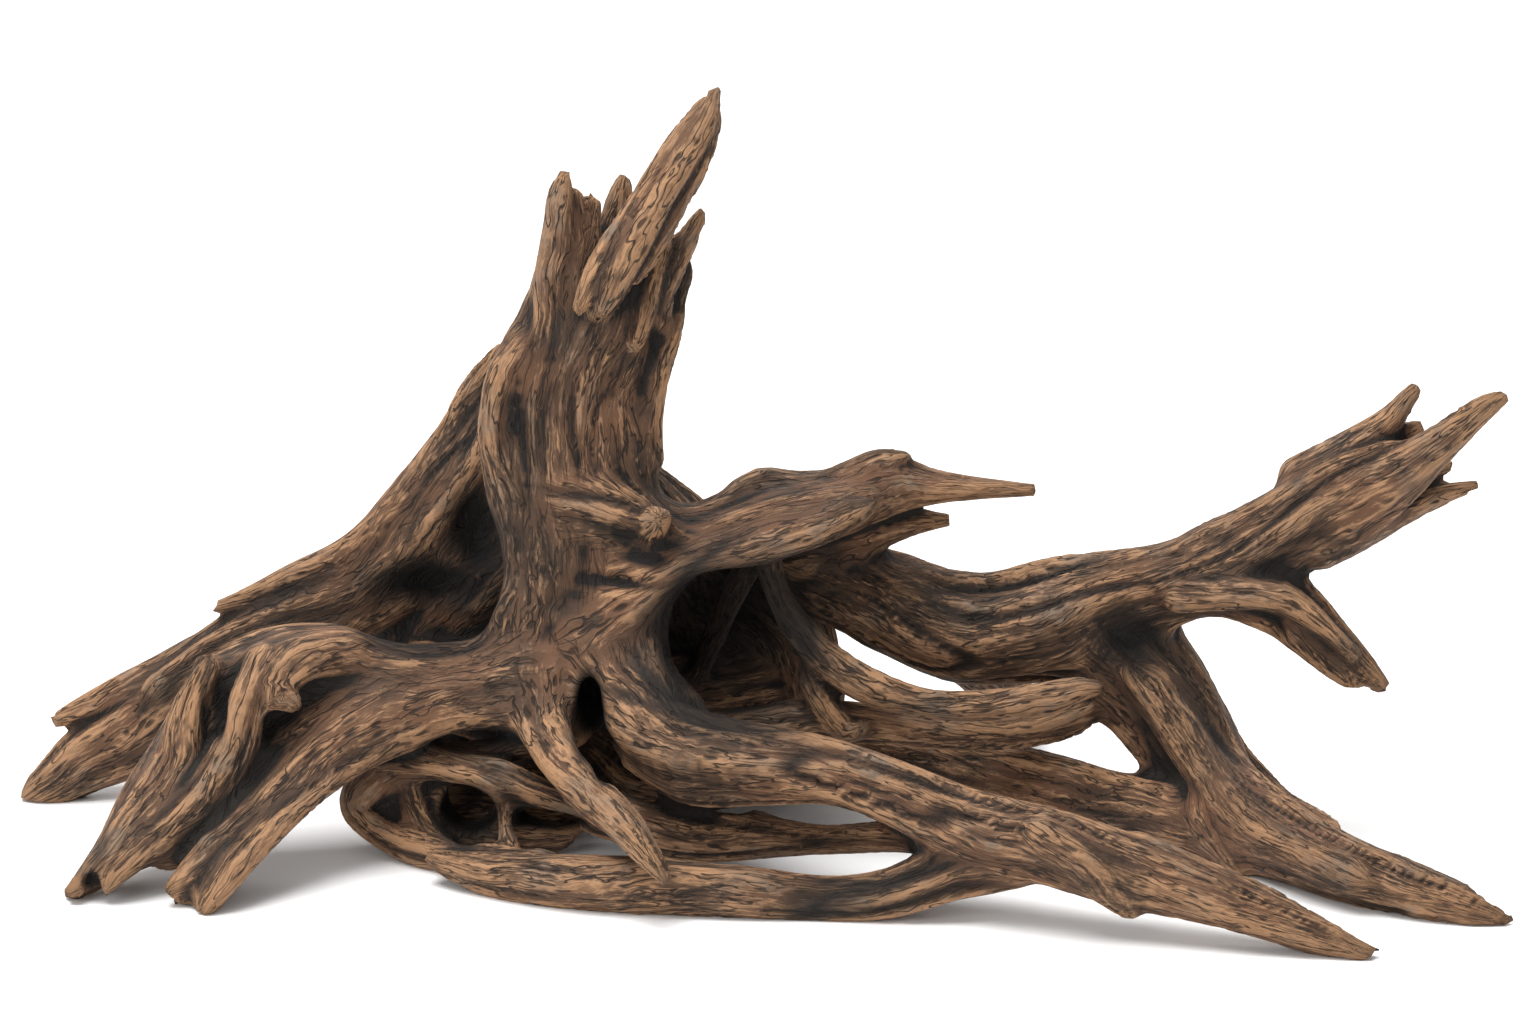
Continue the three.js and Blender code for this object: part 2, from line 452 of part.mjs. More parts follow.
// The surface where the field is 0. Cubes cut into tetrahedra leave no case open, so it always closes.
function surfaceOf({ field, size }) {
  const step = (mask) => (mask & 1) + ((mask >> 1) & 1) * size[0] + (mask >> 2) * size[0] * size[1];
  const corner = (n, mask) => [
    LATTICE_LOW[0] + CELL * ((n % size[0]) + (mask & 1)),
    LATTICE_LOW[1] + CELL * ((Math.floor(n / size[0]) % size[1]) + ((mask >> 1) & 1)),
    LATTICE_LOW[2] + CELL * (Math.floor(n / (size[0] * size[1])) + (mask >> 2)),
  ];
  const positions = [];
  const triangles = [];
  const known = new Map();
  const crossing = (n, from, to) => {
    const key = (n + step(from)) * 8 + (to ^ from);
    if (!known.has(key)) {
      const [a, b] = [field[n + step(from)], field[n + step(to)]];
      const share = Math.min(1 - LEAST_SHARE, Math.max(LEAST_SHARE, a / (a - b)));
      const [start, end] = [corner(n, from), corner(n, to)];
      known.set(key, positions.length / 3);
      positions.push(...start.map((v, axis) => v + share * (end[axis] - v)));
    }
    return known.get(key);
  };
  // Adds a triangle that looks along a direction, from the wood to the air.
  const add = (a, b, c, out) => {
    const p = (i) => new THREE.Vector3().fromArray(positions, 3 * i);
    const normal = new THREE.Vector3().crossVectors(p(b).sub(p(a)), p(c).sub(p(a)));
    triangles.push(...(normal.dot(out) > 0 ? [a, b, c] : [a, c, b]));
  };
  const cutTetrahedron = (n, corners) => {
    const wood = corners.filter((mask) => field[n + step(mask)] < 0);
    const air = corners.filter((mask) => field[n + step(mask)] >= 0);
    if (!wood.length || !air.length) return;
    const out = new THREE.Vector3();
    for (const mask of air) out.addScaledVector(new THREE.Vector3(...corner(0, mask)), 1 / air.length);
    for (const mask of wood) out.addScaledVector(new THREE.Vector3(...corner(0, mask)), -1 / wood.length);
    const cut = (w, a) => crossing(n, Math.min(w, a), Math.max(w, a));
    const ring = wood.length === 2
      ? [cut(wood[0], air[0]), cut(wood[0], air[1]), cut(wood[1], air[1]), cut(wood[1], air[0])]
      : wood.flatMap((w) => air.map((a) => cut(w, a)));
    for (let i = 1; i + 1 < ring.length; i++) add(ring[0], ring[i], ring[i + 1], out);
  };
  for (let k = 0; k + 1 < size[2]; k++)
    for (let j = 0; j + 1 < size[1]; j++)
      for (let i = 0; i + 1 < size[0]; i++) {
        const n = (k * size[1] + j) * size[0] + i;
        let inside = 0;
        for (let mask = 0; mask < 8; mask++) inside += field[n + step(mask)] < 0 ? 1 : 0;
        if (inside > 0 && inside < 8) for (const [b, c] of TETRAHEDRA) cutTetrahedron(n, [0, b, c, 7]);
      }
  return { positions, triangles };
}

// Only the largest connected body: drops crumbs that the lattice leaves at thin tips, and closed bubbles.
function largestBody({ positions, triangles }) {
  const root = Int32Array.from({ length: positions.length / 3 }, (_, i) => i);
  const find = (i) => {
    while (root[i] !== i) i = root[i] = root[root[i]];
    return i;
  };
  for (let t = 0; t < triangles.length; t += 3) {
    root[find(triangles[t])] = find(triangles[t + 1]);
    root[find(triangles[t + 1])] = find(triangles[t + 2]);
  }
  const counts = new Map();
  for (let t = 0; t < triangles.length; t += 3) {
    const body = find(triangles[t]);
    counts.set(body, (counts.get(body) ?? 0) + 1);
  }
  const [largest] = [...counts].sort((a, b) => b[1] - a[1])[0];
  const kept = [];
  for (let t = 0; t < triangles.length; t += 3)
    if (find(triangles[t]) === largest) kept.push(triangles[t], triangles[t + 1], triangles[t + 2]);
  return compact(positions, kept);
}

// The same triangles with only the vertices that they use.
function compact(positions, triangles) {
  const renamed = new Map();
  const kept = [];
  const order = triangles.map((v) => {
    if (!renamed.has(v)) {
      renamed.set(v, renamed.size);
      kept.push(positions[3 * v], positions[3 * v + 1], positions[3 * v + 2]);
    }
    return renamed.get(v);
  });
  return { positions: kept, triangles: order };
}

// Evens out the triangles: pulls the vertices to the mean of their neighbours, then nearly as far back.
function relax({ positions, triangles }) {
  const count = positions.length / 3;
  let now = positions;
  for (const pull of Array(RELAX_ROUNDS).fill(RELAX_STEPS).flat()) {
    const sums = new Float64Array(3 * count);
    const counts = new Int32Array(count);
    for (let t = 0; t < triangles.length; t++) {
      const [from, to] = [triangles[t], triangles[t % 3 === 2 ? t - 2 : t + 1]];
      counts[from]++;
      for (let axis = 0; axis < 3; axis++) sums[3 * from + axis] += now[3 * to + axis];
    }
    now = now.map((v, i) => v + pull * (sums[i] / counts[Math.floor(i / 3)] - v));
  }
  return { positions: now, triangles };
}

// Cuts off what lies under the ground, so the feet end in flat spots at Z = 0.
async function cutAtGround({ positions, triangles }) {
  const wasm = await Module();
  wasm.setup();
  const solid = (vertices, indices) =>
    new wasm.Manifold(new wasm.Mesh({
      numProp: 3, vertProperties: new Float32Array(vertices), triVerts: new Uint32Array(indices),
    }));
  const block = new THREE.BoxGeometry(900, 900, 100).translate(0, 0, -50);
  block.deleteAttribute("normal");
  block.deleteAttribute("uv");
  const welded = mergeVertices(block);
  const ground = solid(welded.attributes.position.array, welded.index.array);
  const mesh = solid(positions, triangles).subtract(ground).getMesh();
  return { positions: Array.from(mesh.vertProperties), triangles: Array.from(mesh.triVerts) };
}

// The plane of a triangle as a quadric: the squared distance to it of any point, weighed by its area.
function planeQuadric(p, q, r) {
  const normal = new THREE.Vector3().crossVectors(q.clone().sub(p), r.clone().sub(p));
  const area = normal.length() / 2;
  if (area < 1e-9) return new Float64Array(10);
  normal.normalize();
  const { x, y, z } = normal;
  const d = -normal.dot(p);
  const products = [x * x, x * y, x * z, x * d, y * y, y * z, y * d, z * z, z * d, d * d];
  return Float64Array.from(products, (value) => value * area);
}

function quadricError(Q, { x, y, z }) {
  return (
    Q[0] * x * x + 2 * Q[1] * x * y + 2 * Q[2] * x * z + 2 * Q[3] * x +
    Q[4] * y * y + 2 * Q[5] * y * z + 2 * Q[6] * y + Q[7] * z * z + 2 * Q[8] * z + Q[9]
  );
}

// The point where the quadric is least, or null where it is a line or a plane of such points.
function quadricBest(Q) {
  const m = new THREE.Matrix3().set(Q[0], Q[1], Q[2], Q[1], Q[4], Q[5], Q[2], Q[5], Q[7]);
  const size = Q[0] + Q[4] + Q[7];
  if (Math.abs(m.determinant()) < 1e-4 * size * size * size) return null;
  return new THREE.Vector3(-Q[3], -Q[6], -Q[8]).applyMatrix3(m.invert());
}

// A heap that gives the item of least cost first.
class Queue {
  items = [];
  push(item) {
    const { items } = this;
    let i = items.push(item) - 1;
    while (i > 0) {
      const parent = (i - 1) >> 1;
      if (items[parent].cost <= item.cost) break;
      items[i] = items[parent];
      i = parent;
    }
    items[i] = item;
  }
  pop() {
    const { items } = this;
    const first = items[0];
    const last = items.pop();
    if (!items.length) return first;
    let i = 0;
    for (let child = 1; child < items.length; child = 2 * i + 1) {
      if (child + 1 < items.length && items[child + 1].cost < items[child].cost) child++;
      if (items[child].cost >= last.cost) break;
      items[i] = items[child];
      i = child;
    }
    items[i] = last;
    return first;
  }
}

// Thins a closed surface: joins the two ends of the edge that costs least, never folding or pinching it.
function thin({ positions, triangles }, keep) {
  const points = [];
  for (let i = 0; i < positions.length; i += 3) points.push(new THREE.Vector3().fromArray(positions, i));
  const faces = [];
  const around = points.map(() => new Set());
  const quadrics = points.map(() => new Float64Array(10));
  const changes = new Int32Array(points.length);
  for (let t = 0; t < triangles.length; t += 3) {
    const face = triangles.slice(t, t + 3);
    const quadric = planeQuadric(...face.map((v) => points[v]));
    for (const v of face) {
      around[v].add(faces.length);
      quadric.forEach((value, i) => (quadrics[v][i] += value));
    }
    faces.push(face);
  }
  const queue = new Queue();
  const neighbours = (v) => new Set([...around[v]].flatMap((f) => faces[f]).filter((w) => w !== v));
  const offer = (a, b) => {
    const quadric = quadrics[a].map((value, i) => value + quadrics[b][i]);
    const middle = points[a].clone().lerp(points[b], 0.5);
    const length = points[a].distanceTo(points[b]);
    const best = quadricBest(quadric);
    const places = [middle, points[a], points[b]];
    if (best && best.distanceTo(middle) < length) places.unshift(best);
    let [at, cost] = [null, Infinity];
    for (const place of places) {
      const error = Math.max(0, quadricError(quadric, place));
      if (error < cost - 1e-9) [at, cost] = [place, error];
    }
    queue.push({ a, b, at, cost: cost + 1e-4 * length * length, age: changes[a] + changes[b], tries: 0 });
  };
  faces.forEach((face) => face.forEach((v, i) => v < face[(i + 1) % 3] && offer(v, face[(i + 1) % 3])));
  const normal = (corners) => new THREE.Vector3().crossVectors(
    corners[1].clone().sub(corners[0]), corners[2].clone().sub(corners[0]));
  // How far from a sliver a triangle is, by the length of its normal.
  const fullness = ([p, q, r], size) =>
    size / Math.max(p.distanceToSquared(q), q.distanceToSquared(r), r.distanceToSquared(p));
  // Whether moving v would turn or flatten one of its triangles that does not hold the other vertex.
  const spoils = (v, other, at) => [...around[v]].some((f) => {
    if (faces[f].includes(other)) return false;
    const before = faces[f].map((w) => points[w]);
    const after = faces[f].map((w) => (w === v ? at : points[w]));
    const [n, m] = [normal(before), normal(after)];
    const [was, is] = [fullness(before, n.length()), fullness(after, m.length())];
    const turned = n.dot(m) < 0.2 * n.length() * m.length();
    return (turned && was > SLIVER) || (is < LEAST_FULLNESS && is < was);
  });
  let left = faces.length;
  while (left > keep && queue.items.length) {
    const item = queue.pop();
    const { a, b, at, age } = item;
    if (!around[a].size || !around[b].size || age !== changes[a] + changes[b]) continue;
    const ringA = neighbours(a);
    if (!ringA.has(b)) continue;
    const shared = [...neighbours(b)].filter((v) => ringA.has(v));
    if (shared.length !== 2 || spoils(a, b, at) || spoils(b, a, at)) {
      // Its surroundings may have changed for the better a while later.
      if (item.tries < TRIES) queue.push({ ...item, cost: 2 * item.cost, tries: item.tries + 1 });
      continue;
    }
    for (const f of [...around[b]]) {
      if (faces[f].includes(a)) {
        for (const v of faces[f]) around[v].delete(f);
        left--;
      } else {
        faces[f][faces[f].indexOf(b)] = a;
        around[a].add(f);
      }
    }
    around[b].clear();
    points[a] = at.clone();
    quadrics[a] = quadrics[a].map((value, i) => value + quadrics[b][i]);
    changes[a]++;
    changes[b]++;
    for (const v of neighbours(a)) offer(a, v);
  }
  const live = faces.filter((face, f) => face.every((v) => around[v].has(f)));
  return compact(points.flatMap((p) => p.toArray()), live.flat());
}

const body = relax(largestBody(surfaceOf(sampleField())));
const { positions, triangles } = thin(await cutAtGround(body), TRIANGLES);
const geometry = new THREE.BufferGeometry();
geometry.setAttribute("position", new THREE.Float32BufferAttribute(
  positions.map((v, i) => (i % 3 === 2 && v < GROUND_SNAP ? 0 : v)), 3));
geometry.setIndex(triangles);
geometry.translate(-MIDDLE[0], -MIDDLE[1], 0);
geometry.computeVertexNormals();
const wood = new THREE.Mesh(
  geometry, new THREE.MeshStandardMaterial({ color: WOOD_COLOUR, roughness: 0.85, metalness: 0 }));
wood.name = "driftwood";

const group = new THREE.Group();
group.name = "driftwood_stump";
group.add(wood);

export default group;
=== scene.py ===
"""A weathered driftwood root stump.

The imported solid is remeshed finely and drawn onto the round, fluted limbs that it was built from. Then the
surface gets the furrows, splits and fibres of washed and dried wood, which run along every limb.
Lengths are in millimetres as in the solid's source, unless a name says otherwise; the meshes are in metres.
"""
import math

import bmesh
import bpy
import numpy as np
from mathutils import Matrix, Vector


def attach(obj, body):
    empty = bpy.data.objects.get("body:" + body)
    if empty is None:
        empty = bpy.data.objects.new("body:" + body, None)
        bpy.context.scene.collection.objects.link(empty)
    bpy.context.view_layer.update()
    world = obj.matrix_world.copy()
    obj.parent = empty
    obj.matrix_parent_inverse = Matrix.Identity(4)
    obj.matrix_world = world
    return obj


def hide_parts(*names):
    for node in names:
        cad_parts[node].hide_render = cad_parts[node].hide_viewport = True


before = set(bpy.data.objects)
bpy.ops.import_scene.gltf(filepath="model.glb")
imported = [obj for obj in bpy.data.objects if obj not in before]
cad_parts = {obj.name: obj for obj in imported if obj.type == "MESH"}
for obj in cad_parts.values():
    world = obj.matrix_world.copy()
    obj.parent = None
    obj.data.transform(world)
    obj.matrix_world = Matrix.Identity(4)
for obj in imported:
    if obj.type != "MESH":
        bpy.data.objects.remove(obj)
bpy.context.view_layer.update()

MM = 0.001
MIDDLE = np.array([-9.5, 7.5, 0])  # where the limbs' paths have the middle of the piece

# The mesh
VOXEL = 2.38
PATH_STEP = 5
LEAST_RADIUS = 1.5
REACH = 16  # how far outside a limb its distance is worked out
SNAP_ROUNDS = 3
SNAP_LIMIT = 2.5  # the furthest a point moves in one round
FAR = 40

# Round forms, as in the solid
FLUTE_SHARE = 0.1
FLUTE_PITCH = 0.018
LUMP_DEPTH = 1
LUMP_LENGTH = 17

# Grain: lengths are along the limb and across it
GRAIN_BLEND = 3  # width over which the grain of one limb gives way to that of the next
WAVE = dict(along=75, across=30, turn=0.35)
FURROW = dict(along=60, across=7.5, depth=1.35)
FIBRE = dict(along=30, across=4.4, depth=0.75)
SPLIT = dict(along=75, across=12, width=0.17, depth=2.7)
FULL_DEPTH_RADIUS = 13  # thinner limbs have shallower grain

# Camera and light, in metres
IMAGE = (1536, 1024)
ELEVATION = 15
DISTANCE = 1.46
TARGET = Vector((0.0095, 0.0085, 0.130))
PIXEL = 0.0004024  # metres across one pixel at the target
SENSOR = 36

# The limbs: depth is how deep (Y) a limb is for its width, blend the width in which it melts into what it
# meets, path the rows of centre x, y, z and radius.
LIMBS = {
    "trunk": dict(depth=0.72, blend=9, path=[(-68, 12, 77, 30), (-71, 12, 111, 32), (-75, 14, 136, 33),
        (-78, 16, 160, 32), (-77, 18, 182, 30.5), (-69, 20, 202, 28.5), (-64, 21, 218, 24.5)]),
    "trunk_foot": dict(depth=0.8, blend=12, path=[(-72, 10, 116, 28), (-73, 6, 94, 29), (-79, 2, 74, 25),
        (-90, -4, 61, 17)]),
    "trunk_hip": dict(depth=0.8, blend=10, path=[(-59, 6, 113, 22.5), (-53, -2, 90, 19),
        (-49, -18, 70, 18.5)]),
    "trunk_bulge": dict(depth=0.8, blend=7, path=[(-73, 2, 137, 18.5), (-57, -4, 133, 15),
        (-43, -8, 127, 8.5)]),
    "knot": dict(depth=1, blend=4, path=[(-47, -10, 131, 7), (-44, -20, 136, 5.5), (-43, -25, 138, 3)]),
    "trunk_lip": dict(depth=1.2, blend=12, path=[(-98, 8, 200, 3), (-105, 6, 190, 4.5),
        (-108, 4, 178, 4.5), (-109, 4, 163, 5), (-105, 4, 146, 5), (-101, 4, 126, 5.5), (-99, 2, 108, 6.5),
        (-103, -2, 92, 7)]),
    "spike_left": dict(depth=0.7, blend=6, path=[(-79, 12, 269, 1.5), (-81, 11, 260, 4),
        (-83, 9, 244, 5.5), (-86, 7, 227, 6), (-87, 6, 211, 5.5), (-89, 7, 195, 5), (-92, 12, 175, 3.5)]),
    "spike_left_edge": dict(depth=0.8, blend=5, path=[(-82, 14, 262, 1.5), (-83, 14, 251, 3),
        (-86, 14, 237, 4), (-89, 16, 223, 4.5), (-92, 18, 210, 4.5)]),
    "spike_slab": dict(depth=0.8, blend=5, path=[(-75, 16, 259, 2), (-75, 14, 247, 4.5),
        (-76, 11, 234, 5.5), (-77, 8, 217, 6), (-80, 2, 200, 3)]),
    "spike_mid": dict(depth=0.9, blend=5, path=[(-67, 20, 263, 1.5), (-69, 18, 252, 3.5),
        (-71, 14, 235, 5), (-74, 10, 218, 5)]),
    "spike_back": dict(depth=0.9, blend=5, path=[(-56, 30, 267, 2), (-59, 29, 256, 5), (-62, 28, 239, 7),
        (-65, 26, 219, 9.5)]),
    "spike_main": dict(depth=0.8, blend=4, path=[(-27, 12, 289, 4.5), (-34, 10, 275, 6.5),
        (-44, 8, 258, 8), (-53, 6, 243, 8.5), (-61, 2, 228, 8), (-67, 0, 215, 4.5)]),
    "spike_main_left": dict(depth=0.8, blend=3.5, path=[(-21, 10, 301, 1.5), (-27, 6, 293, 3),
        (-37, 3, 279, 4), (-47, 0, 263, 4.5), (-58, -4, 246, 4.5), (-67, -8, 230, 4.5), (-72, -10, 220, 3)]),
    "spike_main_mid": dict(depth=0.8, blend=3.5, path=[(-20, 9, 301, 2), (-24, 4, 291, 4.5),
        (-33, 0, 276, 5), (-42, -4, 261, 5.5), (-51, -8, 244, 5.5), (-60, -11, 227, 5),
        (-68, -13, 209, 2.5)]),
    "spike_main_right": dict(depth=0.8, blend=3.5, path=[(-19, 10, 294, 1.5), (-22, 8, 286, 3.5),
        (-28, 5, 272, 4.5), (-36, 2, 257, 4.5), (-44, -2, 242, 4.5), (-52, -5, 228, 2.5)]),
    "spike_stub": dict(depth=1, blend=3, path=[(-76, -8, 214, 2.5), (-72, -8, 222, 3), (-67, -6, 233, 3.5),
        (-61, -2, 243, 3.5)]),
    "spike_right": dict(depth=0.8, blend=5, path=[(-24, 20, 256, 1), (-28, 20, 248, 3), (-34, 18, 237, 5),
        (-40, 16, 224, 6), (-44, 12, 210, 5.5)]),
    "spike_edge": dict(depth=0.8, blend=5, path=[(-29, 24, 234, 1), (-32, 24, 225, 3), (-36, 22, 214, 4.5),
        (-40, 20, 202, 5)]),
    "spike_gap_slab": dict(depth=0.8, blend=5, path=[(-39, 16, 244, 2), (-43, 12, 233, 4),
        (-47, 7, 219, 5), (-52, 0, 202, 3)]),
    "knuckle": dict(depth=1, blend=7, path=[(-35, 16, 209, 2.5), (-38, 12, 200, 3), (-43, 8, 186, 3),
        (-46, 6, 170, 3.5), (-47, 10, 155, 5.5)]),
    "rear_limb": dict(depth=0.75, blend=7, path=[(-93, 30, 194, 4), (-112, 42, 163, 12),
        (-135, 54, 126, 16.5), (-167, 62, 88, 18.5), (-204, 62, 69, 17), (-235, 56, 50, 17),
        (-261, 48, 28, 17), (-283, 42, 17, 15), (-299, 38, 7, 10), (-305, 38, 3, 6.5)]),
    "rear_limb_top": dict(depth=1, blend=7, path=[(-108, 34, 193, 2), (-121, 40, 174, 4.5),
        (-131, 46, 156, 4.5), (-146, 52, 130, 5), (-170, 56, 105, 5.5), (-198, 56, 91, 5.5),
        (-224, 54, 81, 4), (-235, 53, 79, 2.5)]),
    "rear_limb_mid": dict(depth=0.9, blend=7, path=[(-108, 26, 166, 4), (-123, 36, 137, 6),
        (-143, 46, 110, 6.5), (-173, 52, 87, 6.5), (-203, 52, 75, 6), (-230, 48, 63, 6), (-252, 42, 47, 6)]),
    "rear_limb_toe": dict(depth=1, blend=4, path=[(-241, 54, 58, 6), (-268, 48, 45, 6),
        (-290, 42, 36, 4.5), (-298, 40, 33, 3)]),
    "rear_limb_low": dict(depth=1, blend=7, path=[(-112, 36, 138, 4), (-121, 44, 117, 5),
        (-138, 50, 93, 6), (-158, 54, 79, 6), (-178, 52, 69, 6), (-199, 48, 62, 7.5)]),
    "arm_upper": dict(depth=0.9, blend=12, path=[(-78, 4, 80, 20), (-116, -6, 65, 16), (-147, -14, 68, 17),
        (-178, -20, 75, 17.5), (-200, -26, 72, 17.5), (-216, -30, 65, 15), (-228, -34, 49, 12.5),
        (-239, -44, 32, 12), (-251, -58, 15, 9.5), (-261, -70, 7, 7), (-269, -76, 2, 4.5)]),
    "arm_lower": dict(depth=0.9, blend=12, path=[(-83, -8, 67, 16), (-119, -18, 62, 12.5),
        (-148, -28, 57, 12), (-171, -38, 47, 12), (-188, -48, 35, 11.5), (-203, -62, 23, 10.5),
        (-212, -76, 12, 8.5), (-216, -86, 5, 5)]),
    "arm_web": dict(depth=0.9, blend=10, path=[(-148, -24, 64, 12), (-173, -32, 56, 13.5),
        (-196, -42, 43, 12.5), (-216, -54, 26, 11), (-232, -66, 16, 8)]),
    "arm_ridge": dict(depth=1, blend=8, path=[(-198, -40, 84, 7), (-203, -50, 70, 8), (-208, -54, 53, 8),
        (-218, -60, 37, 7.5), (-234, -68, 24, 6.5), (-248, -78, 14, 6), (-256, -83, 6, 4),
        (-259, -86, 1, 2.5)]),
    "arm_knob": dict(depth=1, blend=8, path=[(-220, -38, 81, 6.5), (-227, -44, 65, 7.5),
        (-231, -50, 47, 7.5), (-241, -60, 32, 7), (-253, -74, 19, 6), (-263, -81, 9, 5), (-270, -83, 4, 3)]),
    "arm_hump": dict(depth=1, blend=8, path=[(-167, -24, 83, 6.5), (-184, -40, 84, 8.5),
        (-191, -48, 77, 7), (-185, -51, 71, 3.5)]),
    "arm_strand": dict(depth=1, blend=7, path=[(-130, -28, 65, 7), (-154, -38, 59, 8), (-174, -48, 51, 8),
        (-189, -59, 37, 8), (-204, -70, 24, 7), (-219, -79, 14, 5.5), (-229, -84, 8, 2.5)]),
    "arm_hem": dict(depth=1, blend=7, path=[(-99, -20, 56, 5.5), (-126, -30, 56, 6.5),
        (-149, -40, 51, 6.5), (-166, -50, 43, 6), (-182, -64, 34, 6), (-196, -78, 23, 5.5),
        (-206, -88, 13, 4), (-215, -93, 2, 2.5)]),
    "toe_split": dict(depth=1, blend=3, path=[(-214, -76, 20, 5.5), (-224, -83, 9, 4), (-229, -86, 6, 2)]),
    "toe_under": dict(depth=1, blend=3, path=[(-219, -80, 9, 4.5), (-225, -83, 2, 3), (-229, -85, -3, 2)]),
    "front_twig": dict(depth=1, blend=11, path=[(-91, -10, 69, 13.5), (-89, -28, 56, 11),
        (-80, -54, 47, 9.5), (-68, -74, 41, 8.5), (-56, -90, 36, 7.5), (-47, -102, 29, 6),
        (-40, -108, 22, 4), (-37, -111, 18, 2.5)]),
    "front_limb": dict(depth=0.9, blend=9, path=[(-68, 4, 80, 21), (-54, -20, 62, 23),
        (-31, -46, 51, 19.5), (-2, -62, 50, 16), (28, -74, 50, 13), (54, -85, 44, 14), (80, -96, 35, 16),
        (106, -105, 31, 15), (132, -113, 25, 13.5), (158, -121, 19, 10.5), (183, -128, 12, 8.5),
        (205, -133, 6, 6), (219, -137, 2, 3.5), (226, -139, 1, 2)]),
    "front_knob": dict(depth=1, blend=5, path=[(102, -112, 39, 8), (119, -118, 30, 7.5),
        (130, -118, 19, 6.5), (136, -118, 11, 4)]),
    "front_ridge": dict(depth=1, blend=4, path=[(140, -110, 32, 6), (162, -116, 25, 5.5),
        (184, -122, 18, 5), (202, -128, 10, 3.5), (211, -132, 6, 2)]),
    "base_limb": dict(depth=0.9, blend=7, path=[(-132, -60, 11, 2.5), (-123, -64, 9, 5.5),
        (-108, -70, 8, 8.5), (-80, -81, 9, 11.5), (-49, -89, 10, 12.5), (-13, -93, 9, 10),
        (20, -95, 7, 8.5), (45, -96, 10, 9.5), (67, -96, 18, 12), (90, -98, 25, 13)]),
    "loop_branch": dict(depth=1, blend=5, path=[(-2, 2, 119, 5.5), (3, -2, 103, 5), (13, -10, 87, 7),
        (27, -18, 75, 8), (43, -24, 67, 8), (64, -26, 62, 6), (88, -25, 61, 6), (108, -21, 62, 6),
        (123, -16, 65, 4.5), (132, -13, 65, 3)]),
    "under_loop": dict(depth=1, blend=7, path=[(-52, -6, 41, 9), (-21, -8, 46, 8), (7, -10, 50, 9.5),
        (33, -14, 51, 9), (55, -12, 48, 8), (79, -8, 44, 7.5), (103, -2, 43, 7), (123, 8, 46, 7.5)]),
    "under_knee": dict(depth=1, blend=4, path=[(16, -14, 72, 5), (22, -18, 61, 6), (32, -22, 50, 5),
        (40, -26, 55, 3)]),
    "crest": dict(depth=1, blend=9, path=[(-51, 8, 121, 17), (-27, 10, 122, 13.5), (-1, 14, 131, 13),
        (27, 18, 133, 13.5), (48, 22, 140, 12), (67, 24, 139, 7), (88, 24, 138, 3.5), (108, 24, 137, 1.5)]),
    "crest_roof": dict(depth=0.9, blend=9, path=[(-51, -4, 109, 16.5), (-25, -6, 119, 13.5),
        (-1, -6, 129, 12), (23, 0, 134, 9), (39, 6, 138, 4)]),
    "crest_bump": dict(depth=1, blend=6, path=[(-10, 14, 139, 5), (-2, 16, 143, 4.5), (10, 18, 141, 3.5),
        (18, 18, 138, 2.5)]),
    "crest_peak": dict(depth=1, blend=6, path=[(31, 18, 144, 5.5), (43, 20, 150, 6), (52, 21, 152, 4.5),
        (59, 22, 153, 2)]),
    "crest_blade": dict(depth=1.4, blend=6, path=[(45, 18, 134, 5.5), (65, 22, 136, 4), (86, 24, 137, 3),
        (107, 24, 137, 1.5)]),
    "crest_lip": dict(depth=1.1, blend=10, path=[(-67, -8, 88, 14.5), (-47, -16, 104, 11),
        (-25, -20, 117, 8), (-2, -20, 125, 6.5), (19, -16, 131, 6), (35, -10, 137, 4), (41, -8, 140, 2)]),
    "crest_under": dict(depth=1, blend=6, path=[(17, 28, 113, 10.5), (41, 30, 119, 10.5),
        (60, 30, 122, 5.5), (76, 30, 123, 2)]),
    "window_strand": dict(depth=1, blend=5, path=[(-6, 10, 113, 5.5), (-15, 20, 92, 6), (-22, 26, 75, 5.5),
        (-28, 28, 59, 3.5)]),
    "right_limb": dict(depth=0.8, blend=10, path=[(1, 32, 105, 18), (30, 36, 94, 18), (54, 34, 83, 20),
        (75, 30, 76, 23), (95, 26, 77, 22), (118, 20, 83, 23), (142, 14, 95, 19.5), (166, 8, 105, 17),
        (187, 4, 115, 18.5), (208, 0, 129, 17), (227, 0, 142, 16), (245, 2, 151, 12.5)]),
    "fork_spike_a": dict(depth=0.8, blend=4, path=[(212, 4, 147, 9), (231, 6, 158, 8.5), (246, 8, 169, 7),
        (254, 9, 179, 4.5), (260, 10, 186, 1.5)]),
    "fork_spike_b": dict(depth=0.8, blend=4, path=[(227, -4, 136, 13.5), (247, -4, 149, 11.5),
        (266, -2, 163, 8.5), (279, 0, 174, 5.5), (289, 2, 180, 2.5)]),
    "fork_spike_c": dict(depth=1, blend=4, path=[(220, 0, 121, 10.5), (248, 4, 132, 6), (269, 8, 139, 5),
        (285, 10, 143, 3), (294, 11, 145, 1.5)]),
    "fork_nub": dict(depth=1, blend=3, path=[(245, 14, 156, 8), (257, 14, 164, 5), (262, 14, 167, 2)]),
    "fork_nub_b": dict(depth=1, blend=3, path=[(253, 12, 148, 8), (269, 14, 149, 5), (278, 15, 150, 1.5)]),
    "fork_lower": dict(depth=0.8, blend=8, path=[(183, 4, 109, 16), (205, -4, 98, 13), (222, -12, 86, 10),
        (236, -17, 75, 7), (249, -21, 64, 2.5)]),
    "fork_lower_b": dict(depth=0.9, blend=7, path=[(210, -14, 88, 5), (224, -18, 75, 4), (232, -21, 68, 2)]),
    "fork_strand": dict(depth=1, blend=7, path=[(164, -6, 100, 6.5), (183, -12, 103, 6.5),
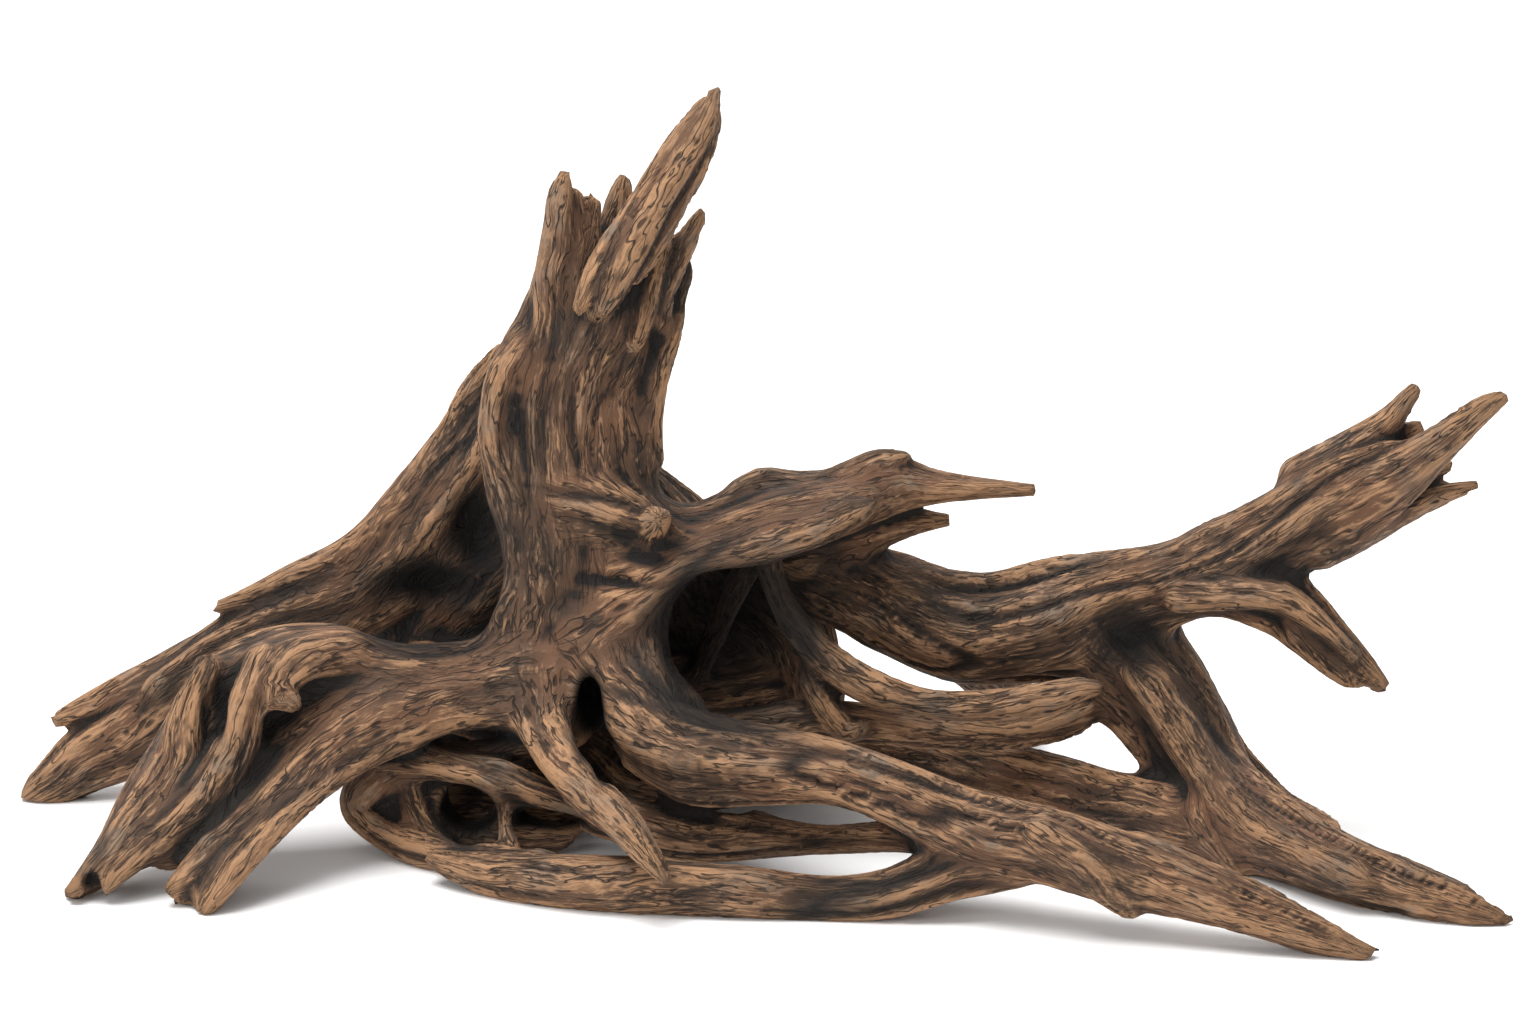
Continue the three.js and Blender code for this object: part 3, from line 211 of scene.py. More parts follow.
        (203, -16, 103, 6), (218, -22, 94, 4.5), (231, -24, 83, 3)]),
    "leg": dict(depth=0.8, blend=13, path=[(131, 18, 83, 19.5), (151, 16, 63, 22), (168, 8, 41, 20.5),
        (180, -10, 23, 18.5), (195, -44, 15, 16.5), (221, -76, 13, 12.5), (242, -90, 10, 10.5),
        (263, -100, 7, 7), (281, -105, 2, 2.5)]),
    "leg_back": dict(depth=1, blend=7, path=[(165, 28, 76, 5), (172, 30, 57, 6), (182, 28, 43, 6),
        (191, 20, 26, 6), (205, -2, 16, 5.5), (222, -40, 13, 5.5)]),
    "leg_strand": dict(depth=1, blend=7, path=[(138, 0, 81, 7), (154, -4, 61, 8), (169, -18, 41, 8),
        (184, -46, 25, 7), (202, -72, 20, 6), (223, -90, 15, 4.5)]),
    "leg_toe": dict(depth=1, blend=3, path=[(241, -82, 15, 5), (260, -92, 12, 3.5), (270, -96, 10, 2)]),
    "leg_toe_b": dict(depth=1, blend=3, path=[(249, -96, 6, 5.5), (265, -103, 2, 3), (273, -105, -1, 1.5)]),
    "leg_heel": dict(depth=1, blend=6, path=[(178, -34, 17, 12), (183, -44, 7, 7), (186, -50, 2, 3)]),
    "low_limb": dict(depth=0.85, blend=8, path=[(-32, 40, 23, 12.5), (9, 36, 21, 13.5), (50, 28, 20, 14),
        (85, 16, 17, 16.5), (113, 6, 14, 16.5), (135, -2, 10, 15.5), (152, -12, 11, 14.5),
        (178, -28, 10, 14)]),
    "back_twig": dict(depth=1, blend=6, path=[(-75, -30, 22, 9.5), (-51, -38, 17, 11), (-27, -46, 15, 10),
        (-3, -54, 17, 8), (24, -64, 20, 6), (51, -76, 25, 6), (68, -86, 25, 7)]),
    "back_twig_nub": dict(depth=1, blend=4, path=[(5, -52, 16, 4.5), (-2, -50, 21, 4), (-5, -49, 23, 2.5)]),
    "swirl": dict(depth=1, blend=8, path=[(-83, -18, 51, 9.5), (-115, -18, 40, 6.5), (-139, -20, 37, 7),
        (-157, -22, 27, 10.5), (-162, -26, 18, 8), (-150, -32, 9, 7), (-133, -42, 7, 6.5),
        (-113, -56, 9, 6.5), (-89, -68, 12, 7)]),
    "swirl_rib": dict(depth=1, blend=8, path=[(-149, -24, 37, 6.5), (-126, -30, 37, 6.5),
        (-104, -34, 33, 7), (-84, -36, 26, 6.5), (-65, -36, 20, 6)]),
    "swirl_left": dict(depth=1, blend=8, path=[(-146, -22, 31, 8), (-142, -26, 20, 8), (-134, -34, 8, 7)]),
    "swirl_strut": dict(depth=1, blend=8, path=[(-106, -34, 31, 4), (-104, -38, 19, 3),
        (-101, -50, 11, 4.5)]),
    "swirl_plate": dict(depth=0.5, blend=6, path=[(-147, -20, 18, 12), (-120, -24, 15, 17),
        (-96, -28, 13, 13.5), (-83, -30, 11, 9)]),
    "rear_wall": dict(depth=0.7, blend=10, path=[(-62, 34, 130, 22), (-36, 52, 96, 27), (-6, 60, 72, 27),
        (8, 64, 40, 24)]),
    "rear_floor": dict(depth=0.9, blend=6, path=[(-152, 40, 10, 12), (-118, 34, 8, 14), (-84, 30, 6, 13)]),
    "eye_back": dict(depth=1, blend=6, path=[(-150, 8, 12, 15), (-118, 9, 13, 17), (-96, 8, 11, 16),
        (-80, 8, 9, 12)]),
    "rear_step": dict(depth=1, blend=6, path=[(-67, 16, 27, 9), (-54, 14, 18, 13), (-34, 14, 15, 13),
        (-14, 18, 15, 11), (8, 24, 18, 9)]),
    "rear_wall_b": dict(depth=0.7, blend=10, path=[(-82, 36, 128, 24), (-112, 62, 98, 26),
        (-142, 68, 66, 24), (-132, 68, 34, 20)]),
    "rear_sill": dict(depth=0.8, blend=10, path=[(-140, 46, 48, 20), (-95, 28, 44, 22), (-50, 32, 42, 22),
        (-14, 48, 42, 20)]),
    "root_back": dict(depth=1, blend=10, path=[(-50, 42, 95, 26), (-42, 82, 62, 24), (-34, 112, 32, 18),
        (-26, 134, 11, 12), (-20, 150, 3, 6)]),
    "root_left": dict(depth=1, blend=10, path=[(-112, 60, 92, 24), (-140, 92, 58, 19), (-165, 116, 26, 14),
        (-182, 132, 8, 9), (-192, 140, 3, 5)]),
    "root_right": dict(depth=1, blend=8, path=[(56, 40, 84, 20), (84, 72, 58, 17), (100, 98, 30, 14),
        (108, 116, 8, 10), (112, 124, 3, 6)]),
}

# The hollows that rot and water opened, as ellipsoids.
HOLLOWS = {
    "window": dict(blend=6, balls=[dict(at=(-12, -34, 91), radii=(31, 60, 27)),
        dict(at=(-11, 8, 79), radii=(30, 34, 27))]),
    "pocket": dict(blend=5, balls=[dict(at=(-120, 10, 110), radii=(14, 36, 25)),
        dict(at=(-140, 14, 91), radii=(28, 38, 13))]),
    "cleft": dict(blend=4, balls=[dict(at=(-70, -36, 62), radii=(6, 36, 14)),
        dict(at=(-64, -42, 45), radii=(5, 30, 11))]),
    "slot": dict(blend=4, balls=[dict(at=(-115, -34, 49), radii=(17, 26, 5))]),
    "eye": dict(blend=3, balls=[dict(at=(-119, -34, 20), radii=(11, 27, 11))]),
    "slit": dict(blend=3, balls=[dict(at=(-88, -36, 17), radii=(12, 26, 4))]),
    "crease": dict(blend=3, balls=[dict(at=(-37, -32, 125), radii=(10, 12, 3)),
        dict(at=(-50, -30, 120), radii=(10, 14, 3)), dict(at=(-64, -26, 111), radii=(10, 9, 2))]),
    "arm_hole": dict(blend=3, balls=[dict(at=(-213, -52, 66), radii=(3, 13, 7)),
        dict(at=(-190, -54, 64), radii=(5, 12, 3))]),
    "toe_hole": dict(blend=2, balls=[dict(at=(-260, -88, 8), radii=(3, 8, 5))]),
    "armpit": dict(blend=8, balls=[dict(at=(145, -20, 81), radii=(17, 24, 13))]),
}

# The limbs that run through a hollow, joined after it is cut.
CROSSING = ("loop_branch", "window_strand")

# Colours, linear
BARK_DARK = (0.030, 0.018, 0.012, 1)
BARK_BROWN = (0.112, 0.061, 0.034, 1)
BARK_RED = (0.145, 0.070, 0.036, 1)
# Tan and grey of bleached fibres, also used as painted highlight on ridges and broad swells
FIBRE_AND_HIGHLIGHT_TAN = (0.400, 0.220, 0.112, 1)
FIBRE_AND_HIGHLIGHT_GREY = (0.205, 0.150, 0.108, 1)
# Near black of the real splits, also used as painted shade in furrows and bays
SPLIT_AND_SHADE_DARK = (0.010, 0.007, 0.005, 1)
# Near-black painted shade deep inside the hollows
PAINTED_HOLLOW_SHADE = (0.006, 0.0045, 0.004, 1)
FIBRE_BUMP = 1.3

# Lamps: name, place, the place that they light, size in metres, watts
LAMPS = (
    ("softbox_above", (-0.5, -0.2, 2.2), (0, 0, 0.1), 1.4, 62),
    ("softbox_front", (-1.4, -1.8, 1.2), (0, 0, 0.1), 1.0, 12),
    ("backdrop_light", (0, 3.4, 2.2), (0, 3.4, 0), 4.0, 75),
)
SKY = 0.55


def through_points(points, shares):
    """Points on the smooth curve (Catmull-Rom) through the given rows, at shares from 0 to 1."""
    rows = np.vstack([2 * points[0] - points[1], points, 2 * points[-1] - points[-2]])
    place = shares * (len(points) - 1)
    i = np.minimum(place.astype(int), len(points) - 2)
    t = (place - i)[:, None]
    a, b, c, d = rows[i], rows[i + 1], rows[i + 2], rows[i + 3]
    slope_b, slope_c = 0.5 * (c - a), 0.5 * (d - b)
    return ((2 * t**3 - 3 * t**2 + 1) * b + (t**3 - 2 * t**2 + t) * slope_b
            + (3 * t**2 - 2 * t**3) * c + (t**3 - t**2) * slope_c)


class Limb:
    """One limb as straight stretches, in a space where its flattened section is round."""

    def __init__(self, number, crossing, depth, blend, path):
        self.crossing, self.blend, self.phase = crossing, blend, number * 2.4
        self.squash = np.array([1, 1 / depth, 1])
        rows = np.array(path, float)
        rows[:, 1] /= depth
        rough = through_points(rows, np.linspace(0, 1, 200))[:, :3]
        length = np.linalg.norm(np.diff(rough, axis=0), axis=1).sum()
        stretches = max(len(path) - 1, math.ceil(length / PATH_STEP))
        curve = through_points(rows, np.linspace(0, 1, stretches + 1))
        self.at, self.r = curve[:, :3], np.maximum(LEAST_RADIUS, curve[:, 3])
        steps = np.diff(self.at, axis=0)
        self.along = np.concatenate([[0], np.cumsum(np.linalg.norm(steps, axis=1))])
        self.mean_r = self.r.mean()
        tangents = np.gradient(self.at, axis=0)
        tangents /= np.linalg.norm(tangents, axis=1)[:, None]
        side = np.array([0.3, 1, 0.2])
        self.side = np.empty_like(self.at)
        for i, tangent in enumerate(tangents):
            side = side - side.dot(tangent) * tangent
            side /= np.linalg.norm(side)
            self.side[i] = side
        self.other = np.cross(tangents, self.side)

    def near(self, points):
        """The numbers of the points within reach of the limb's box."""
        at = self.at / self.squash
        low = (at - self.r[:, None]).min(axis=0) - REACH
        high = (at + self.r[:, None]).max(axis=0) + REACH
        return np.flatnonzero(((points > low) & (points < high)).all(axis=1))

    def nearest(self, points):
        """For each point: distance outside the plain limb, place along, angle, radius and the way out."""
        p = points * self.squash
        a, step = self.at[:-1], np.diff(self.at, axis=0)
        best = np.full(len(p), np.inf)
        index = np.zeros(len(p), int)
        share = np.zeros(len(p))
        for i in range(len(step)):
            t = np.clip((p - a[i]) @ step[i] / step[i].dot(step[i]), 0, 1)
            r = self.r[i] + t * (self.r[i + 1] - self.r[i])
            d = np.linalg.norm(p - a[i] - t[:, None] * step[i], axis=1) - r
            closer = d < best
            best[closer], index[closer], share[closer] = d[closer], i, t[closer]
        q = p - a[index] - share[:, None] * step[index]
        angle = np.arctan2((q * self.other[index]).sum(1), (q * self.side[index]).sum(1))
        lengths = self.along[index + 1] - self.along[index]
        along = self.along[index] + share * lengths + (q * step[index]).sum(1) / lengths
        r = self.r[index] + share * (self.r[index + 1] - self.r[index])
        out = q / np.maximum(1e-6, np.linalg.norm(q, axis=1))[:, None] * self.squash
        return best, along, angle, r, out

    def distance(self, points):
        """Distance outside the fluted limb, with the other values of nearest."""
        d, along, angle, r, out = self.nearest(points)
        wind = along * FLUTE_PITCH + self.phase
        flutes = (0.42 * np.sin(3 * angle + wind) + 0.33 * np.sin(5 * angle - 1.6 * wind)
                  + 0.25 * np.sin(8 * angle + 2.3 * wind))
        return d - FLUTE_SHARE * r * flutes, along, angle, r, out


def soft_min(a, way_a, b, way_b, width):
    """The lesser of two distances, rounded off where they meet, and its way out."""
    h = np.maximum(0, width - np.abs(a - b)) / width
    share = np.where(a < b, 1 - h / 2, h / 2)[:, None]
    return np.minimum(a, b) - h * h * width / 4, share * way_a + (1 - share) * way_b


def join_limbs(field, way, points, limbs):
    """Joins limbs to the wood that the field holds so far."""
    for limb in limbs:
        near = limb.near(points)
        d, _, _, _, out = limb.distance(points[near])
        field[near], way[near] = soft_min(field[near], way[near], d, out, limb.blend)


def wood_distance(points, limbs):
    """How far points lie outside the whole piece, and the way out."""
    field = np.full(len(points), float(FAR))
    way = np.zeros((len(points), 3))
    join_limbs(field, way, points, [limb for limb in limbs if not limb.crossing])
    for hollow in HOLLOWS.values():
        for ball in hollow["balls"]:
            radii = np.array(ball["radii"], float)
            q = (points - ball["at"]) / radii
            share = np.maximum(1e-6, np.linalg.norm(q, axis=1))
            inward = -q / radii / share[:, None] * radii.min()
            taken, ways = soft_min(-field, -way, (share - 1) * radii.min(), -inward, hollow["blend"])
            field, way = -taken, -ways
    join_limbs(field, way, points, [limb for limb in limbs if limb.crossing])
    u, v, w = (points / LUMP_LENGTH).T
    lumps = np.sin(u + 1.3 * np.sin(v)) * np.sin(v + 1.7 * np.sin(w)) + 0.5 * np.sin(w + u / 2)
    return field - LUMP_DEPTH * lumps, way


def smooth_noise(points, seed):
    """Noise from -1 to 1 that changes smoothly over one unit, the same on each run."""
    table = np.random.default_rng(seed).uniform(-1, 1, (64, 64, 64))
    cell = np.floor(points).astype(int)
    f = points - cell
    f = f * f * (3 - 2 * f)
    total = np.zeros(len(points))
    for x in (0, 1):
        for y in (0, 1):
            for z in (0, 1):
                weight = np.ones(len(points))
                for axis, step in enumerate((x, y, z)):
                    weight *= f[:, axis] if step else 1 - f[:, axis]
                i, j, k = ((cell + (x, y, z)) & 63).T
                total += weight * table[i, j, k]
    return total


def grain_space(limb, number, along, angle):
    """Coordinates that run along the limb and round it without a seam, with the grain's waves in them."""
    r = limb.mean_r
    across = r / WAVE["across"]
    ring = np.stack([along / WAVE["along"], across * np.cos(angle), across * np.sin(angle)], 1)
    turned = angle + WAVE["turn"] * smooth_noise(ring + 9.7 * number, 1) * 18 / (r + 6)
    start = 37.3 * number
    return np.stack([along + start, r * np.cos(turned) + start, r * np.sin(turned)], 1)


def stretched(space, shape):
    return space / (shape["along"], shape["across"], shape["across"])


def grain_height(space, r):
    """Height of the grain's ridges and splits over the plain limb, in mm."""
    furrows = smooth_noise(stretched(space, FURROW), 2)
    fibres = smooth_noise(stretched(space, FIBRE), 3)
    split_line = np.abs(smooth_noise(stretched(space, SPLIT), 4))
    open_here = np.clip(0.4 + 1.5 * smooth_noise(space / 45, 5), 0, 1)
    splits = np.clip(1 - split_line / SPLIT["width"], 0, 1) * open_here
    height = FURROW["depth"] * furrows + FIBRE["depth"] * fibres - SPLIT["depth"] * splits
    return height * np.clip(r / FULL_DEPTH_RADIUS, 0.25, 1), splits


def drop_crumbs(mesh):
    """Leaves only the largest connected body; the remeshing can cut the last millimetres off a thin tip."""
    bm = bmesh.new()
    bm.from_mesh(mesh)
    waiting, bodies = set(bm.verts), []
    while waiting:
        body, edge = set(), [waiting.pop()]
        while edge:
            vert = edge.pop()
            body.add(vert)
            found = {e.other_vert(vert) for e in vert.link_edges} & waiting
            waiting -= found
            edge.extend(found)
        bodies.append(body)
    bodies.sort(key=len)
    bmesh.ops.delete(bm, geom=[vert for body in bodies[:-1] for vert in body], context="VERTS")
    bm.to_mesh(mesh)
    bm.free()


def remeshed_copy(node):
    """The solid's skin as an even, fine mesh."""
    bm = bmesh.new()
    bm.from_mesh(node.data)
    bmesh.ops.remove_doubles(bm, verts=bm.verts, dist=1e-6)
    mesh = bpy.data.meshes.new("driftwood_skin")
    bm.to_mesh(mesh)
    bm.free()
    piece = bpy.data.objects.new("driftwood_skin", mesh)
    bpy.context.collection.objects.link(piece)
    voxels = piece.modifiers.new("voxels", "REMESH")
    voxels.mode = "VOXEL"
    voxels.voxel_size = VOXEL * MM
    fine = bpy.data.meshes.new_from_object(piece.evaluated_get(bpy.context.evaluated_depsgraph_get()))
    piece.modifiers.clear()
    drop_crumbs(fine)
    piece.data = fine
    return piece


def points_of(mesh):
    flat = np.empty(len(mesh.vertices) * 3)
    mesh.vertices.foreach_get("co", flat)
    return flat.reshape(-1, 3)


def normals_of(mesh):
    flat = np.empty(len(mesh.vertices) * 3)
    mesh.vertices.foreach_get("normal", flat)
    return flat.reshape(-1, 3)


def place_points(mesh, points):
    mesh.vertices.foreach_set("co", points.ravel())
    mesh.update()


def edges_of(mesh):
    flat = np.empty(len(mesh.edges) * 2, int)
    mesh.edges.foreach_get("vertices", flat)
    return flat.reshape(-1, 2)


def averaged(values, edges, rounds):
    """Values moved to the mean of their neighbours, again and again."""
    a, b = edges.T
    count = len(values)
    neighbours = np.bincount(a, minlength=count) + np.bincount(b, minlength=count)
    for _ in range(rounds):
        sums = [np.bincount(a, c[b], count) + np.bincount(b, c[a], count) for c in values.T]
        values = 0.5 * values + 0.5 * np.stack(sums, 1) / neighbours[:, None]
    return values


def draw_onto_limbs(points, limbs, edges):
    """Moves the skin's points onto the round forms, and leaves the soles on the ground."""
    for _ in range(SNAP_ROUNDS):
        sole = points[:, 2] < 0.3
        d, way = wood_distance(points, limbs)
        size = np.maximum(0.3, (way * way).sum(1))
        move = np.clip(d / size, -SNAP_LIMIT, SNAP_LIMIT)
        move[np.abs(d) > 3 * VOXEL] *= 0.3
        moved = points - move[:, None] * way
        moved[sole] = points[sole]
        points = 0.8 * moved + 0.2 * averaged(moved, edges, 1)
    return points


def carve_grain(piece, limbs):
    """The grain's relief, and for the material its coordinates on the two limbs next to each face."""
    mesh = piece.data
    edges = edges_of(mesh)
    points = draw_onto_limbs(points_of(mesh) / MM + MIDDLE, limbs, edges)
    place_points(mesh, (points - MIDDLE) * MM)
    normals = normals_of(mesh)
    count = len(points)
    weights = np.zeros((len(limbs), count), np.float32)
    spaces = np.zeros((len(limbs), count, 3), np.float32)
    heights = np.zeros((len(limbs), count), np.float32)
    openings = np.zeros((len(limbs), count), np.float32)
    for number, limb in enumerate(limbs):
        near = limb.near(points)
        d, along, angle, r, _ = limb.distance(points[near])
        near, along, angle, r, d = (v[d < REACH] for v in (near, along, angle, r, d))
        space = grain_space(limb, number, along, angle)
        weights[number, near] = np.exp(-np.clip(d, -6, REACH) / GRAIN_BLEND)
        spaces[number, near] = space
        heights[number, near], openings[number, near] = grain_height(space, r)
    total = np.maximum(1e-6, weights.sum(0))
    height = (weights * heights).sum(0) / total
    split = (weights * openings).sum(0) / total
    above = np.clip(points[:, 2] / 4, 0, 1)
    carved = points + normals * (height * above)[:, None]
    carved[:, 2] = np.maximum(carved[:, 2], 0)
    place_points(mesh, (carved - MIDDLE) * MM)
    keep_grain(mesh, weights, spaces, limbs)
    keep_wear_and_painted_light(mesh, carved, edges, split)


def keep_grain(mesh, weights, spaces, limbs):
    """Stores the grain's coordinates at each corner of a face, for the first and the second nearest limb."""
    corners = np.empty(len(mesh.loops), int)
    mesh.loops.foreach_get("vertex_index", corners)
    sizes = np.empty(len(mesh.polygons), int)
    mesh.polygons.foreach_get("loop_total", sizes)
    face = np.repeat(np.arange(len(sizes)), sizes)
    face_weights = np.stack([np.bincount(face, w[corners], len(sizes)) for w in weights])
    order = np.argsort(-face_weights, axis=0)[:2]
    for name, nearest in zip(("grain_first", "grain_second"), order):
        values = spaces[nearest[face], corners]
        layer = mesh.attributes.new(name, "FLOAT_VECTOR", "CORNER")
        layer.data.foreach_set("vector", values.astype(np.float32).ravel())
    first = weights[order[0][face], corners]
    second = weights[order[1][face], corners]
    layer = mesh.attributes.new("grain_share", "FLOAT", "CORNER")
    layer.data.foreach_set("value", (second / np.maximum(1e-6, first + second)).astype(np.float32))


def keep_wear_and_painted_light(mesh, points, edges, split):
    """Stores how proud (above 0) or sunken each point is, finely and broadly, for partly real bleaching,
    painted highlight and painted shade, and how deep in a hollow, for painted shade there.
    """
    normals = normals_of(mesh)
    fine = ((points - averaged(points, edges, 4)) * normals).sum(1) / 0.5
    broad = ((points - averaged(points, edges, 60)) * normals).sum(1) / 3
    # Painted shade: stronger the nearer a point lies to the middle of a hollow
    painted_hollow_shade = np.zeros(len(points))
    for hollow in HOLLOWS.values():
        for ball in hollow["balls"]:
            share = np.linalg.norm((points - ball["at"]) / ball["radii"], axis=1)
            painted_hollow_shade = np.maximum(painted_hollow_shade, np.clip((1.5 - share) / 0.5, 0, 1))
    for name, values in dict(proud=fine, swell=broad, painted_hollow_shade=painted_hollow_shade, split=split).items():
        layer = mesh.attributes.new(name, "FLOAT", "POINT")
        layer.data.foreach_set("value", np.clip(values, -1, 1).astype(np.float32))


def new_group(name, inputs, outputs):
    """An empty shader node group with its named sockets."""
    group = bpy.data.node_groups.new(name, "ShaderNodeTree")
    for direction, sockets in (("INPUT", inputs), ("OUTPUT", outputs)):
        for socket, kind in sockets.items():
            group.interface.new_socket(socket, in_out=direction, socket_type=kind)
    nodes = group.nodes
    return group, nodes.new("NodeGroupInput"), nodes.new("NodeGroupOutput")


class Graph:
    """Short calls for the nodes of one tree."""

    def __init__(self, tree):
        self.nodes, self.links = tree.nodes, tree.links

    def add(self, kind, inputs=None, **settings):
        node = self.nodes.new(kind)
        for name, value in settings.items():
            setattr(node, name, value)
        for name, value in (inputs or {}).items():
            self.put(node, name, value)
        return node

    def put(self, node, name, value):
        if isinstance(value, bpy.types.NodeSocket):
            self.links.new(value, node.inputs[name])
        else:
            node.inputs[name].default_value = value

    def math(self, operation, *values, clamp=False):
        node = self.add("ShaderNodeMath", dict(enumerate(values)), operation=operation, use_clamp=clamp)
        return node.outputs[0]

    def ramp(self, value, low, high, start=0.0, end=1.0):
        node = self.add("ShaderNodeMapRange", {
            "Value": value, "From Min": low, "From Max": high, "To Min": start, "To Max": end})
        node.interpolation_type = "SMOOTHSTEP"
        return node.outputs[0]

    def scaled(self, vector, scale):
        return self.add("ShaderNodeMapping", {"Vector": vector, "Scale": scale}).outputs[0]

    def noise(self, vector, scale, detail=3.0, roughness=0.6):
        node = self.add("ShaderNodeTexNoise", {
            "Vector": self.scaled(vector, scale), "Scale": 1.0, "Detail": detail, "Roughness": roughness})
        return node.outputs["Fac"]

    def blend(self, share, first, second, mode="MIX"):
        node = self.add("ShaderNodeMix", data_type="RGBA", blend_type=mode)
        self.put(node, 0, share)
        self.put(node, 6, first)
        self.put(node, 7, second)
        return node.outputs[2]

    def attribute(self, name, output="Fac"):
        return self.add("ShaderNodeAttribute", attribute_name=name).outputs[output]


def wood_fibre_group():
    """Fibres, bundles of fibres and short splits, in coordinates that run along the limb (mm)."""
    group, given, result = new_group(
        "wood_fibre", {"Along": "NodeSocketVector"},
        {"Fibre": "NodeSocketFloat", "Bundle": "NodeSocketFloat", "Split": "NodeSocketFloat"})
    g = Graph(group)
    bend = g.add("ShaderNodeTexNoise", {
        "Vector": g.scaled(given.outputs[0], (0.05, 0.12, 0.12)), "Scale": 1.0, "Detail": 2.0})
    shift = g.add("ShaderNodeVectorMath", operation="SUBTRACT")
    g.put(shift, 0, bend.outputs["Color"])
    g.put(shift, 1, (0.5, 0.5, 0.5))
    strong = g.add("ShaderNodeVectorMath", operation="SCALE")
    g.put(strong, 0, shift.outputs[0])
    g.put(strong, "Scale", 5.0)
    wavy = g.add("ShaderNodeVectorMath", operation="ADD")
    g.put(wavy, 0, given.outputs[0])
    g.put(wavy, 1, strong.outputs[0])
    along = wavy.outputs[0]
    fibre = g.noise(along, (0.075, 0.75, 0.75), detail=4.0, roughness=0.7)
    bundle = g.noise(along, (0.035, 0.3, 0.3), detail=4.0, roughness=0.6)
    cells = g.add("ShaderNodeTexVoronoi", {
        "Vector": g.scaled(along, (0.075, 0.42, 0.42)), "Scale": 1.0, "Randomness": 1.0}, feature="F1")
    chance = g.add("ShaderNodeSeparateColor", {"Color": cells.outputs["Color"]}).outputs[0]
    picked = g.math("GREATER_THAN", chance, 0.35)
    spots = g.math("MULTIPLY", g.ramp(cells.outputs["Distance"], 0.3, 0.12), picked)
    wander = g.noise(along, (0.024, 0.28, 0.28), detail=2.0)
    lines = g.ramp(g.math("ABSOLUTE", g.math("SUBTRACT", wander, 0.5)), 0.026, 0.004)
    split = g.math("MAXIMUM", spots, lines)
    for name, value in (("Fibre", fibre), ("Bundle", bundle), ("Split", split)):
        g.put(result, name, value)
    return group


def driftwood_material():
    """Dry brown wood: dark where it is split, with painted shade in furrows, bays and hollows, and bleached
    to tan on what stands proud, which is partly painted highlight.
    """
    material = bpy.data.materials.new("weathered_driftwood")
    material.use_nodes = True
    material.node_tree.nodes.clear()
    g = Graph(material.node_tree)
    fibre_group = wood_fibre_group()
    share = g.ramp(g.attribute("grain_share"), 0.2, 0.5, 0.0, 0.5)
    both = []
    for name in ("grain_first", "grain_second"):
        node = g.add("ShaderNodeGroup", node_tree=fibre_group)
        g.put(node, "Along", g.attribute(name, "Vector"))
        both.append(node)

    def mixed(output):
        node = g.add("ShaderNodeMix", data_type="FLOAT")
        g.put(node, 0, share)
        g.put(node, 2, both[0].outputs[output])
        g.put(node, 3, both[1].outputs[output])
        return node.outputs[0]

    fibre, bundle, split = mixed("Fibre"), mixed("Bundle"), mixed("Split")
    proud, swell = g.attribute("proud"), g.attribute("swell")
    painted_hollow_shade, opened = g.attribute("painted_hollow_shade"), g.attribute("split")
    place = g.add("ShaderNodeTexCoord").outputs["Object"]
    patch = g.noise(place, (14, 14, 18), detail=3.0)
    blotch = g.noise(place, (45, 45, 60), detail=3.0)

    brown = g.blend(g.ramp(bundle, 0.32, 0.68), BARK_DARK, BARK_BROWN)
    warm = g.blend(g.ramp(patch, 0.42, 0.66), brown, BARK_RED)
    light_fibres = g.math("MULTIPLY", g.ramp(fibre, 0.42, 0.68), 0.85)
    # Ridges and broad swells turn tan: partly bleached wood, partly painted highlight
    raised = g.math("ADD", g.math("MULTIPLY", proud, 0.6), g.math("MULTIPLY", swell, 0.3))
    bleached_and_highlit = g.math("ADD", light_fibres, raised)
    tan = g.blend(g.ramp(blotch, 0.45, 0.75), FIBRE_AND_HIGHLIGHT_TAN, FIBRE_AND_HIGHLIGHT_GREY)
    worn_and_highlit = g.blend(g.ramp(bleached_and_highlit, 0.3, 1.2, 0.0, 0.9), warm, tan)
    # Painted shade: furrows and broad bays darkened with the same near black as the real splits
    painted_furrow_shade = g.ramp(proud, -0.05, -0.75, 0.0, 0.85)
    painted_bay_shade = g.ramp(swell, -0.1, -0.8, 0.0, 0.65)
    painted_crease_shade = g.math("ADD", painted_furrow_shade, painted_bay_shade, clamp=True)
    dark = g.math("MAXIMUM", g.math("MAXIMUM", g.math("MULTIPLY", split, 0.82), opened), painted_crease_shade)
    split_and_shaded_wood = g.blend(dark, worn_and_highlit, SPLIT_AND_SHADE_DARK)
    # Painted shade deep in the hollows, blended toward near black
    colour = g.blend(g.math("MULTIPLY", painted_hollow_shade, 0.92), split_and_shaded_wood, PAINTED_HOLLOW_SHADE)

    height = g.math("ADD", g.math("MULTIPLY", fibre, 0.9), g.math("MULTIPLY", bundle, 1.2))
    height = g.math("SUBTRACT", height, g.math("MULTIPLY", split, 0.8))
    relief = g.add("ShaderNodeBump", {"Height": height, "Strength": 1.0, "Distance": FIBRE_BUMP * MM})
    shader = g.add("ShaderNodeBsdfPrincipled", {
        "Base Color": colour, "Roughness": g.ramp(fibre, 0.3, 0.7, 0.86, 0.66),
        "Normal": relief.outputs[0], "Specular IOR Level": 0.35})
    g.add("ShaderNodeOutputMaterial", {"Surface": shader.outputs[0]})
    return material


